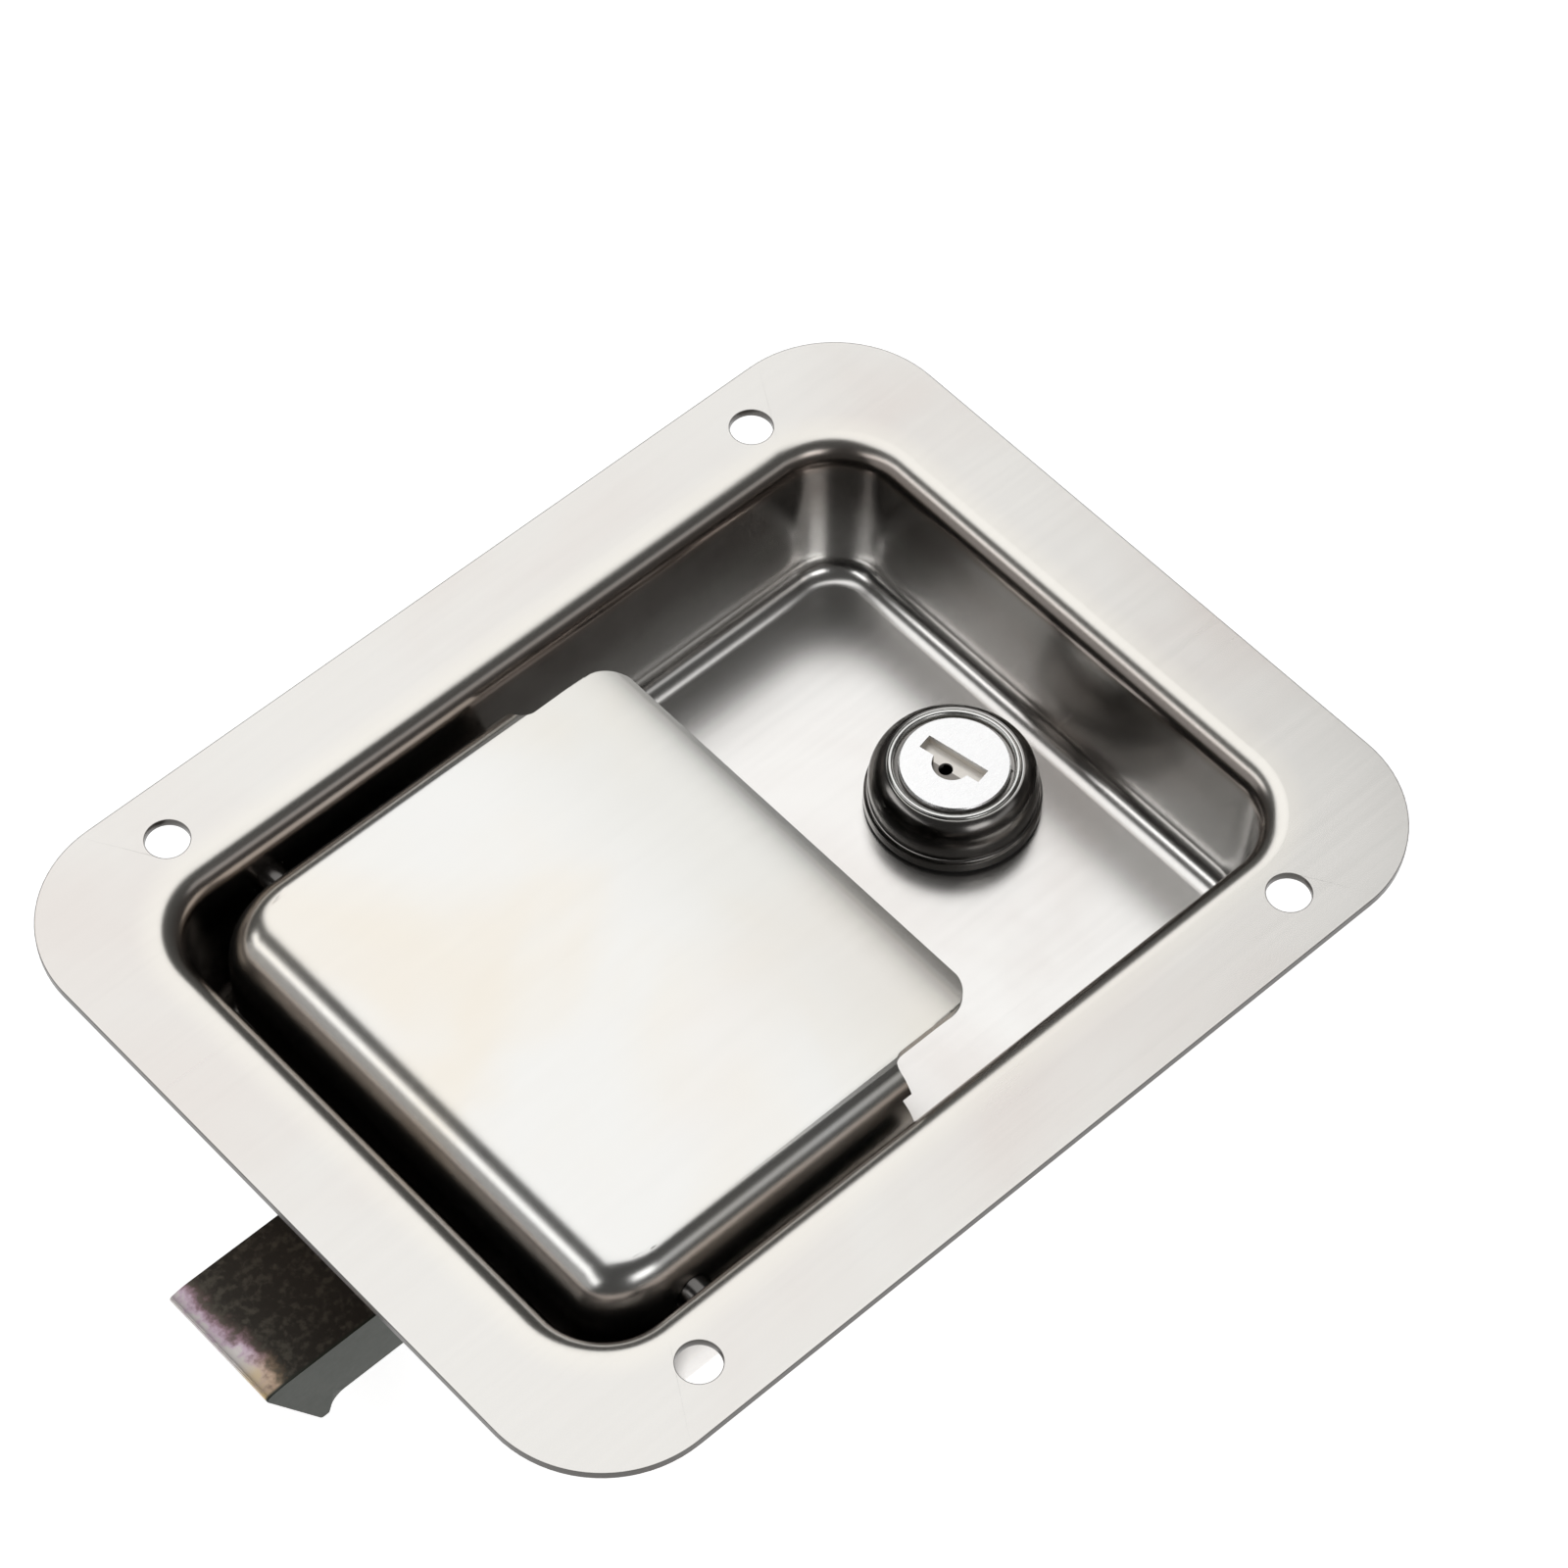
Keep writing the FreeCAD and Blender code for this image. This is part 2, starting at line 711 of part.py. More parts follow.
# Bolt: a bar with a bevelled nose and toe, a window for the lever and a pocket for the spring
tip_x = -(plate_length / 2.0 + bolt_reach)
toe_z = bolt_bottom_z - bolt_toe_drop
toe_x_front = tip_x + bolt_bevel
bolt_side = [
    (bolt_tail_x, bolt_top_z, 0.0),
    (tip_x + bolt_tip_fall, bolt_top_z, bolt_tip_curve),
    (tip_x, bolt_top_z - bolt_tip_land, bolt_tip_land),
    (toe_x_front, toe_z, bolt_toe_radius),
    (toe_x_front + bolt_toe_land, toe_z, bolt_heel_edge),
    (toe_x_front + bolt_toe_land + bolt_heel_run, bolt_bottom_z, bolt_heel_radius),
    (bolt_tail_x, bolt_bottom_z, 0.0),
]
bolt = outline(bolt_side, in_xz(bolt_y - bolt_width / 2.0)).extrude(V(0, bolt_width, 0))
window = rounded_box(
    (window_rear_x - window_front_x) / 2.0,
    bolt_window_width / 2.0,
    bolt_window_corner,
    bolt_bottom_z - over,
    bolt_top_z + over,
    (window_rear_x + window_front_x) / 2.0,
    bolt_y,
)
pocket = rounded_box(
    (pocket_rear_x - pocket_front_x) / 2.0,
    bolt_window_width / 2.0,
    bolt_pocket_corner,
    bolt_bottom_z - over,
    pocket_roof_z,
    (pocket_rear_x + pocket_front_x) / 2.0,
    bolt_y,
)
bolt_block = outline(
    [
        (bolt_y - bolt_width / 2.0, toe_z - over, 0.0),
        (bolt_y - bolt_width / 2.0, bolt_top_z, bolt_edge),
        (bolt_y + bolt_width / 2.0, bolt_top_z, bolt_edge),
        (bolt_y + bolt_width / 2.0, toe_z - over, 0.0),
    ],
    in_yz(tip_x - over),
).extrude(V(bolt_tail_x - tip_x + 2.0 * over, 0, 0))
heel_x = toe_x_front + bolt_toe_land + bolt_heel_run + bolt_heel_radius
lower_edges = []
for sign in (-1, 1):
    edge_y = bolt_y + sign * bolt_width / 2.0
    lower_edges.append(
        outline(
            [
                (edge_y, bolt_bottom_z, 0.0),
                (edge_y - sign * bolt_edge, bolt_bottom_z, 0.0),
                (edge_y, bolt_bottom_z + bolt_edge, 0.0),
            ],
            in_yz(heel_x),
        ).extrude(V(bolt_tail_x - heel_x, 0, 0))
    )
bolt = bolt.common(bolt_block).cut([window, pocket] + lower_edges)

# Bolt housing: a folded channel riveted under the pan, with a tab bent up behind the spring
outer_half = channel_half + housing_sheet
housing_section = [
    (bolt_y - housing_flange, floor_back_z, 0.0),
    (bolt_y - channel_half, floor_back_z, housing_bend + housing_sheet),
    (bolt_y - channel_half, channel_z, housing_bend),
    (bolt_y + channel_half, channel_z, housing_bend),
    (bolt_y + channel_half, floor_back_z, housing_bend + housing_sheet),
    (bolt_y + housing_flange, floor_back_z, 0.0),
    (bolt_y + housing_flange, floor_back_z - housing_sheet, 0.0),
    (bolt_y + outer_half, floor_back_z - housing_sheet, housing_bend),
    (bolt_y + outer_half, channel_z - housing_sheet, housing_bend + housing_sheet),
    (bolt_y - outer_half, channel_z - housing_sheet, housing_bend + housing_sheet),
    (bolt_y - outer_half, floor_back_z - housing_sheet, housing_bend),
    (bolt_y - housing_flange, floor_back_z - housing_sheet, 0.0),
]
channel_length = tab_bend_x - housing_front_x
channel = outline(housing_section, in_yz(housing_front_x)).extrude(V(channel_length, 0, 0))
tab = outline(
    [
        (tab_bend_x - over, channel_z, 0.0),
        (tab_x, channel_z, housing_bend),
        (tab_x, channel_z + tab_height, 0.0),
        (tab_rear_x, channel_z + tab_height, 0.0),
        (tab_rear_x, channel_z - housing_sheet, housing_bend + housing_sheet),
        (tab_bend_x - over, channel_z - housing_sheet, 0.0),
    ],
    in_xz(bolt_y - tab_width / 2.0),
).extrude(V(0, tab_width, 0))
boss = Part.makeCylinder(
    spring_boss_radius, spring_boss_length, V(tab_x - spring_boss_length, bolt_y, bolt_axis_z), V(1, 0, 0)
)
housing_plan = rounded_box(
    channel_length / 2.0,
    housing_flange,
    housing_corner,
    channel_z - housing_sheet - over,
    floor_back_z + over,
    (tab_bend_x + housing_front_x) / 2.0,
    bolt_y,
)
bolt_housing = join(channel.common(housing_plan), [tab, boss]).cut(rivet_holes)

# Bolt spring: a coil with both ends ground flat
spring_front_x = pocket_front_x + 2.0 * running
bolt_spring_length = tab_x - spring_front_x
bolt_spring_radius = (bolt_spring_diameter - bolt_spring_wire) / 2.0
coil_length = bolt_spring_length + 2.0 * bolt_spring_wire
bolt_spring = coil(
    bolt_spring_wire, bolt_spring_radius, coil_length, round(coil_length / bolt_spring_pitch)
)
bolt_spring.rotate(V(0, 0, 0), V(0, 1, 0), 90)
bolt_spring.translate(V(spring_front_x - bolt_spring_wire, bolt_y, bolt_axis_z))
ground_ends = Part.makeCylinder(
    bolt_spring_diameter, bolt_spring_length, V(spring_front_x, bolt_y, bolt_axis_z), V(1, 0, 0)
)
bolt_spring = bolt_spring.common(ground_ends)

# Rivets: a low round head on the pan's floor and a formed tail under the housing's flange
rivet_outline = [
    (0.0, floor_z + rivet_head_height, 0.0),
    (rivet_head_radius, floor_z + rivet_head_height, 0.0),
    (rivet_head_radius, floor_z, 0.0),
    (rivet_radius, floor_z, 0.0),
    (rivet_radius, rivet_low_z, 0.0),
    (rivet_tail_radius, rivet_low_z, 0.0),
    (rivet_tail_radius, rivet_low_z - rivet_tail_height, 0.0),
    (0.0, rivet_low_z - rivet_tail_height, 0.0),
]
housing_rivets = Part.makeCompound([turned(rivet_outline, x, y) for x, y in rivet_places])

# Lock body: a turned head on the recess's floor and a flatted barrel through it
head_bottom_z = floor_z + gasket_thickness
step_z = floor_z + head_step
bore_radius = plug_radius + running
head_outline = [
    (bore_radius, barrel_end_z, 0.0),
    (barrel_radius - barrel_chamfer, barrel_end_z, 0.0),
    (barrel_radius, barrel_end_z + barrel_chamfer, 0.0),
    (barrel_radius, head_bottom_z, 0.0),
    (head_radius, head_bottom_z, 0.0),
    (head_radius, step_z - head_edge, 0.0),
    (head_radius - head_edge, step_z, 0.0),
    (head_radius - head_groove, step_z, 0.0),
    (bulge_radius, step_z + head_groove, 0.0),
    (bulge_radius, step_z + bulge_height, bulge_edge),
    (face_ring_radius, lock_face_z, 0.0),
    (plug_radius + plug_mouth, lock_face_z, 0.0),
    (bore_radius, lock_face_z - plug_mouth, 0.0),
]
lock_body = turned(head_outline, lock_x, 0.0)
below_head = rod_z(head_radius, barrel_end_z - over, head_bottom_z, lock_x, 0.0)
flats = double_flat(2.0 * head_radius, barrel_flat, barrel_end_z - over, face_z)
lock_body = lock_body.cut(below_head.cut(flats))

# The direction of the keyway, u along it and w across it
key_turn = math.radians(key_angle)


def key_place(z, turn=0.0):
    """Places an outline flat at height z in the keyway's directions, turned about the lock's axis."""
    angle = key_turn + math.radians(turn)
    along = V(-math.sin(angle), math.cos(angle), 0)
    across = V(math.cos(angle), math.sin(angle), 0)
    centre = V(lock_x, 0, z)
    return lambda u, w: centre + along * u + across * w


def key_block(u0, u1, w0, w1, z0, z1, turn=0.0):
    """A block in the keyway's directions."""
    corners = [(u0, w0, 0.0), (u1, w0, 0.0), (u1, w1, 0.0), (u0, w1, 0.0)]
    return outline(corners, key_place(z0, turn)).extrude(V(0, 0, z1 - z0))


wafer_w0 = -wafer_width / 2.0 - wafer_offset
wafer_w1 = wafer_w0 + wafer_width
wafer_round = plug_radius - 2.0 * running
wafer_low_z = lock_face_z - wafer_first - (wafer_count - 1) * wafer_pitch - wafer_thickness
channel_depth = wafer_round + wafer_travel + loose
channels = []
for turn in (0.0, -90.0):
    channels.append(
        key_block(
            0.0,
            channel_depth,
            wafer_w0 - channel_gap,
            wafer_w1 + channel_gap,
            wafer_low_z - loose,
            lock_face_z - wafer_first + loose,
            turn,
        )
    )
lock_body = lock_body.cut(channels)

# A post on the barrel's end for the stop washer's lug
stop_post_height = barrel_end_z - cam_top_z - loose
stop_post_z = barrel_end_z - stop_post_height
stop_post = Part.makeCylinder(
    stop_lug_radius, stop_post_height, V(lock_x, 0, stop_post_z), V(0, 0, 1), stop_lug_angle
)
stop_post = stop_post.cut(
    rod_z(stop_washer_radius + loose, stop_post_z - over, barrel_end_z + over, lock_x, 0.0)
)
stop_post.rotate(V(lock_x, 0, 0), V(0, 0, 1), stop_post_place)
lock_body = join(lock_body, [stop_post.common(flats)])

# Gasket, toothed washer and nut on the barrel
lock_gasket = turned(
    [
        (barrel_radius + 2 * running, floor_z, 0.0),
        (head_radius - 3 * running, floor_z, 0.0),
        (head_radius - 3 * running, head_bottom_z, 0.0),
        (barrel_radius + 2 * running, head_bottom_z, 0.0),
    ],
    lock_x,
    0.0,
)
washer_low_z = floor_back_z - washer_thickness
lock_washer = rod_z(washer_radius, washer_low_z, floor_back_z, lock_x, 0.0)
lock_washer = lock_washer.cut(
    rod_z(barrel_radius + 2 * running, washer_low_z - over, floor_back_z + over, lock_x, 0.0)
)
tooth_gaps = []
for i in range(washer_teeth):
    angle = 2.0 * math.pi * i / washer_teeth
    half_gap = math.radians(tooth_gap_angle)
    notch = []
    for reach, turn in (
        (washer_radius - tooth_depth, 0.0),
        (washer_radius + over, half_gap),
        (washer_radius + over, -half_gap),
    ):
        across = angle + turn
        notch.append((lock_x + reach * math.cos(across), reach * math.sin(across), 0.0))
    gap = outline(notch, in_xy(washer_low_z - over))
    tooth_gaps.append(gap.extrude(V(0, 0, washer_thickness + 2.0 * over)))
lock_washer = lock_washer.cut(tooth_gaps)

nut_top_z = washer_low_z
nut_corner = nut_width / 2.0 / math.cos(math.radians(30.0))
nut_corners = []
for i in range(6):
    angle = math.radians(60.0 * i)
    nut_corners.append((lock_x + nut_corner * math.cos(angle), nut_corner * math.sin(angle), 0.0))
lock_nut = outline(nut_corners, in_xy(nut_bottom_z)).extrude(V(0, 0, nut_thickness))
nut_dome = turned(
    [
        (0.0, nut_bottom_z, 0.0),
        (nut_corner - nut_chamfer, nut_bottom_z, 0.0),
        (nut_corner, nut_bottom_z + nut_chamfer, 0.0),
        (nut_corner, nut_top_z, 0.0),
        (0.0, nut_top_z, 0.0),
    ],
    lock_x,
    0.0,
)
nut_bore = rod_z(barrel_radius + running, nut_bottom_z - over, nut_top_z + over, lock_x, 0.0)
lock_nut = lock_nut.common(nut_dome).cut(nut_bore)

# Plug: the turned core with its keyway, wafer slots and the square tang for the cam
tang_end_z = cam_bottom_z + loose
lock_plug = turned(
    [
        (0.0, barrel_end_z, 0.0),
        (plug_radius, barrel_end_z, 0.0),
        (plug_radius, lock_face_z - plug_edge, 0.0),
        (plug_radius - plug_edge, lock_face_z, 0.0),
        (0.0, lock_face_z, 0.0),
    ],
    lock_x,
    0.0,
)
tang = box(
    lock_x - tang_width / 2.0,
    lock_x + tang_width / 2.0,
    -tang_width / 2.0,
    tang_width / 2.0,
    tang_end_z,
    barrel_end_z,
)
tang_round = rod_z(tang_corner, tang_end_z - over, barrel_end_z + over, lock_x, 0.0)
lock_plug = join(lock_plug, [tang.common(tang_round)])
entry_slot = key_block(
    slot_u - keyway_length / 2.0,
    slot_u + keyway_length / 2.0,
    slot_w - keyway_width / 2.0,
    slot_w + keyway_width / 2.0,
    lock_face_z - keyway_entry,
    lock_face_z + over,
)
bulge_centre = key_place(0.0)(key_bulge_u, key_bulge_w)
entry_bulge = rod_z(
    key_bulge_radius, lock_face_z - keyway_entry, lock_face_z + over, bulge_centre.x, bulge_centre.y
)
entry_bulge = entry_bulge.common(
    key_block(
        -plug_radius,
        plug_radius,
        -plug_radius,
        slot_w,
        lock_face_z - keyway_entry - over,
        lock_face_z + 2.0 * over,
    )
)
deep_slot = key_block(
    slot_u - ward_length / 2.0,
    slot_u + ward_length / 2.0,
    slot_w - ward_width / 2.0,
    slot_w + ward_width / 2.0,
    lock_face_z - keyway_depth,
    lock_face_z + over,
)
spot = key_place(0.0)(ward_hole_u, ward_hole_w)
deep_hole = rod_z(ward_hole, lock_face_z - keyway_depth, lock_face_z + over, spot.x, spot.y)
lug_w1 = wafer_w1 + wafer_lug_reach
lug_u1 = wafer_lug_u + wafer_lug_length
side_u1 = lug_u1 + wafer_travel + loose
plug_wide = plug_radius + over
wafer_cuts = []
wafers = []
spring_rods = []
for i in range(wafer_count):
    top = lock_face_z - wafer_first - i * wafer_pitch
    low = top - wafer_thickness
    slot_low = low - running
    slot_top = top + running
    wafer_cuts.append(
        key_block(-plug_wide, plug_wide, wafer_w0 - running, wafer_w1 + running, slot_low, slot_top)
    )
    wafer_cuts.append(
        key_block(wafer_spring_u - running, side_u1, wafer_w1, lug_w1 + running, slot_low, slot_top)
    )
    body = rod_z(wafer_round, low, top, lock_x, 0.0)
    body = body.common(key_block(-plug_wide, plug_wide, wafer_w0, wafer_w1, low, top))
    lug = key_block(wafer_lug_u, lug_u1, wafer_w1 - wafer_lug_root, lug_w1, low, top)
    key_window = key_block(
        slot_u - ward_length / 2.0 - wafer_travel - 2.0 * running,
        slot_u + ward_length / 2.0 + 2.0 * running,
        wafer_w0 + wafer_rail,
        wafer_w1 - wafer_rail,
        low - over,
        top + over,
    )
    wafers.append(join(body, [lug]).cut(key_window))
    spring_place = key_place((top + low) / 2.0)
    spring_w = (wafer_w1 + lug_w1) / 2.0
    spring_corners = []
    for side in range(6):
        angle = math.radians(60.0 * side)
        across = spring_w + wafer_spring_radius * math.cos(angle)
        spring_corners.append((across, wafer_spring_radius * math.sin(angle), 0.0))
    spring_start = spring_place(wafer_spring_u, 0.0)
    spring_end = spring_place(wafer_lug_u - 2.0 * running, 0.0)
    spring = outline(spring_corners, lambda w, z: spring_place(wafer_spring_u, w) + V(0, 0, z))
    spring_rods.append(spring.extrude(spring_end - spring_start))
screw_tip_z = lock_face_z - keyway_depth - cam_screw_end
screw_bore = rod_z(cam_screw_radius + running, tang_end_z - over, screw_tip_z + loose, lock_x, 0.0)
lock_plug = lock_plug.cut([entry_slot, entry_bulge, deep_slot, deep_hole, screw_bore] + wafer_cuts)
plug_wafers = Part.makeCompound(wafers)
wafer_springs = Part.makeCompound(spring_rods)


def tang_hole(z0, z1):
    """The square hole, with its rounded corners, that fits the plug's tang."""
    half = tang_width / 2.0 + running
    square = box(lock_x - half, lock_x + half, -half, half, z0, z1)
    return square.common(rod_z(tang_corner + running, z0, z1, lock_x, 0.0))


# Stop washer: its lug runs against the barrel's post after a quarter turn
stop_washer = rod_z(stop_washer_radius, cam_top_z, stop_washer_z, lock_x, 0.0)
stop_lug = Part.makeCylinder(
    stop_lug_radius, stop_washer_thickness, V(lock_x, 0, cam_top_z), V(0, 0, 1), stop_lug_angle
)
stop_lug.rotate(V(lock_x, 0, 0), V(0, 0, 1), stop_lug_place)
stop_washer = join(stop_washer, [stop_lug]).cut(tang_hole(cam_top_z - over, stop_washer_z + over))

# Cam: a hub on the tang and an arm whose end is bent up behind the bolt; drawn along +X, then
# turned to its unlocked place along -Y
cam_half = cam_arm_width / 2.0
cam_flat_end = cam_reach - cam_bend
cam_root_half = cam_hub_radius - running
cam_hub = rod_z(cam_hub_radius, cam_bottom_z, cam_top_z, lock_x, 0.0)
cam_arm = outline(
    [
        (lock_x, -cam_root_half, 0.0),
        (lock_x + cam_flat_end, -cam_half, 0.0),
        (lock_x + cam_flat_end, cam_half, 0.0),
        (lock_x, cam_root_half, 0.0),
    ],
    in_xy(cam_bottom_z),
).extrude(V(0, 0, cam_thickness))
cam_tip = outline(
    [
        (lock_x + cam_flat_end - over, cam_bottom_z, 0.0),
        (lock_x + cam_reach, cam_bottom_z, cam_bend),
        (lock_x + cam_reach, cam_tip_z, cam_tip_corner),
        (lock_x + cam_reach - cam_thickness, cam_tip_z, cam_tip_corner),
        (lock_x + cam_reach - cam_thickness, cam_top_z, cam_bend - cam_thickness),
        (lock_x + cam_flat_end - over, cam_top_z, 0.0),
    ],
    in_xz(-cam_half),
).extrude(V(0, cam_arm_width, 0))
lock_cam = join(cam_hub, [cam_arm, cam_tip])
lock_cam.rotate(V(lock_x, 0, 0), V(0, 0, 1), -90)
lock_cam = lock_cam.cut(tang_hole(cam_bottom_z - over, cam_top_z + over))

# Split washer and screw that hold the cam on the tang
split_low_z = cam_bottom_z - split_washer_thickness
split_outer = cam_screw_head - split_washer_inset
split_inner = cam_screw_radius + split_washer_inset
split_half_gap = split_gap / 2.0
split_z0 = split_low_z - over
split_z1 = cam_bottom_z + over
cam_spring_washer = rod_z(split_outer, split_low_z, cam_bottom_z, lock_x, 0.0)
cam_spring_washer = cam_spring_washer.cut(
    [
        rod_z(split_inner, split_z0, split_z1, lock_x, 0.0),
        box(lock_x, lock_x + cam_screw_head, -split_half_gap, split_half_gap, split_z0, split_z1),
    ]
)
screw_low_z = split_low_z - cam_screw_head_height
cam_screw = turned(
    [
        (0.0, screw_low_z, 0.0),
        (cam_screw_head - cam_screw_chamfer, screw_low_z, 0.0),
        (cam_screw_head, screw_low_z + cam_screw_chamfer, 0.0),
        (cam_screw_head, split_low_z, 0.0),
        (cam_screw_radius, split_low_z, 0.0),
        (cam_screw_radius, screw_tip_z, 0.0),
        (0.0, screw_tip_z, 0.0),
    ],
    lock_x,
    0.0,
)
cross = []
for a, b in ((cross_length, cross_width), (cross_width, cross_length)):
    cross.append(box(lock_x - a, lock_x + a, -b, b, screw_low_z - over, screw_low_z + cross_depth))
cam_screw = cam_screw.cut(cross)

nodes = {
    "pan": pan,
    "hinge_pin": hinge_pin,
    "pin_clip": pin_clip,
    "paddle": paddle,
    "paddle_lever": paddle_lever,
    "paddle_spring": paddle_spring,
    "bolt": bolt,
    "bolt_spring": bolt_spring,
    "bolt_housing": bolt_housing,
    "housing_rivets": housing_rivets,
    "lock_body": lock_body,
    "lock_gasket": lock_gasket,
    "lock_washer": lock_washer,
    "lock_nut": lock_nut,
    "lock_plug": lock_plug,
    "plug_wafers": plug_wafers,
    "wafer_springs": wafer_springs,
    "stop_washer": stop_washer,
    "lock_cam": lock_cam,
    "cam_spring_washer": cam_spring_washer,
    "cam_screw": cam_screw,
}
os.makedirs("parts", exist_ok=True)
for name, shape in nodes.items():
    shape.exportStep(os.path.join("parts", name + ".step"))
    print(name, len(shape.Solids), round(shape.Volume, 1), shape.isValid())
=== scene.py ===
import math

import bmesh
import bpy
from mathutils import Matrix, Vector


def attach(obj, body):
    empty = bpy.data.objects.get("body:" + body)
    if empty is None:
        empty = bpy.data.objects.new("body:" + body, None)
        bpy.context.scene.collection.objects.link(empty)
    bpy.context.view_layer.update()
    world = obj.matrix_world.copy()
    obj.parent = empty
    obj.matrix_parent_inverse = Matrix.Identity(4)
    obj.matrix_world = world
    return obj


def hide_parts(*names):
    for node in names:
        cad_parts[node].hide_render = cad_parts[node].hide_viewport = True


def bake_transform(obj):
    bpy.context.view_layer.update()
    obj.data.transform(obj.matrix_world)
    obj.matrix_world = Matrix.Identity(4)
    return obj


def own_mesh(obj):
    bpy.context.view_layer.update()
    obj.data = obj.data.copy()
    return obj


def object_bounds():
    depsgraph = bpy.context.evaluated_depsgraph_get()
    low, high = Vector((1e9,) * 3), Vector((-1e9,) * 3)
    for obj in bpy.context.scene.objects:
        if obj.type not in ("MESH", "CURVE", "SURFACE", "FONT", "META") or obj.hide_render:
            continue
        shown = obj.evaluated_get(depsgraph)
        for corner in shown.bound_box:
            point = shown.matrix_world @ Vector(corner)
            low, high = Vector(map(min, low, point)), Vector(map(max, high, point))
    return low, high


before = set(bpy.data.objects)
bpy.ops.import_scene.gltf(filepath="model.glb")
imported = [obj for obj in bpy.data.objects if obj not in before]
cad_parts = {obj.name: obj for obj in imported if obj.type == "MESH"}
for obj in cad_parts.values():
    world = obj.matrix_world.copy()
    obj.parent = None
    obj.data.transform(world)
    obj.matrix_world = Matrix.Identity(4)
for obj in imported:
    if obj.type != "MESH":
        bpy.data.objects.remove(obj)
cad_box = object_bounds()

# Camera
# It stands where the photograph was taken from: above the bolt's end of the plate and to the
# left, with a long lens.
camera = bpy.data.objects.new("camera", bpy.data.cameras.new("camera"))
bpy.context.scene.collection.objects.link(camera)
camera.data.lens = 120.0
camera.data.sensor_width = 36.0
camera.data.clip_start = 0.05
camera.data.clip_end = 20.0
camera.location = (-0.20115, -0.22422, 0.44858)
camera.rotation_euler = [math.radians(angle) for angle in (34.838, -0.4475, -42.353)]
bpy.context.scene.camera = camera
bpy.context.scene.view_settings.view_transform = "Standard"

# Floor
# A white light table that the latch lies over, as in a product photograph. Sizes are in mm.
mm = 0.001
floor_z = cad_box[0].z - 0.5 * mm
bpy.ops.object.select_all(action="DESELECT")
bpy.ops.mesh.primitive_plane_add(size=6.0, location=(0, 0, floor_z))
floor = bpy.context.active_object
floor.name = "floor"
table = bpy.data.materials.new("light_table")
table.use_nodes = True
opal = table.node_tree.nodes["Principled BSDF"].inputs
opal["Base Color"].default_value = (0.7, 0.7, 0.7, 1)
opal["Roughness"].default_value = 0.9
opal["Emission Color"].default_value = (1, 1, 1, 1)
opal["Emission Strength"].default_value = 0.86
floor.data.materials.append(table)


# Lights
# A wide overhead sheet of light that the plate mirrors, a narrow and a dim low one at the left
# for the paddle's bend, a dim strip in front for its long skirt with a small bright one for the
# lock's drum, and a nearly dark surround.
def softbox(name, place, width, height, power):
    """A rectangular lamp at a place, turned to the latch."""
    lamp = bpy.data.objects.new(name, bpy.data.lights.new(name, "AREA"))
    bpy.context.scene.collection.objects.link(lamp)
    lamp.data.shape = "RECTANGLE"
    lamp.data.size = width
    lamp.data.size_y = height
    lamp.data.energy = power
    lamp.location = place
    lamp.rotation_euler = (-Vector(place)).to_track_quat("-Z", "Y").to_euler()


softbox("overhead", (0.22, 0.52, 1.05), 1.02, 1.4, 5.1)
softbox("left_window", (-0.85, 0.35, 0.68), 1.3, 0.25, 1.6)
softbox("left_low", (-1.05, 0.4, 0.26), 1.1, 0.5, 0.55)
softbox("front_strip", (0.42, -0.85, 0.62), 0.7, 0.26, 0.26)
softbox("front_window", (-0.10, -0.80, 0.60), 0.4, 0.26, 0.6)
world = bpy.data.worlds.new("surround")
world.use_nodes = True
world.node_tree.nodes["Background"].inputs["Color"].default_value = (1, 0.985, 0.96, 1)
world.node_tree.nodes["Background"].inputs["Strength"].default_value = 0.06
bpy.context.scene.world = world


# Pan
# One sheet of 1 mm steel, drawn into a rectangular recess and pierced for four screws, the
# lever, the lock and the hinge pin. Its face is satin, and the draw polishes the bends. Its colour
# also holds painted light: a lighter floor, a painted highlight round the mouth, and painted shade
# on the walls, the mouth's bend, the cut edges and low in the recess at the paddle's hinge end.
class Value:
    """A number in a material's nodes. Operators on it add the Math nodes."""

    def __init__(self, finish, socket):
        self.finish = finish
        self.socket = socket

    def math(self, operation, first, second):
        return self.finish.node("Math", {"operation": operation}, {0: first, 1: second})

    def __add__(self, other):
        return self.math("ADD", self, other)

    def __radd__(self, other):
        return self.math("ADD", other, self)

    def __sub__(self, other):
        return self.math("SUBTRACT", self, other)

    def __rsub__(self, other):
        return self.math("SUBTRACT", other, self)

    def __mul__(self, other):
        return self.math("MULTIPLY", self, other)

    def __rmul__(self, other):
        return self.math("MULTIPLY", other, self)

    def __pow__(self, other):
        return self.math("POWER", self, other)

    def __rpow__(self, other):
        return self.math("POWER", other, self)


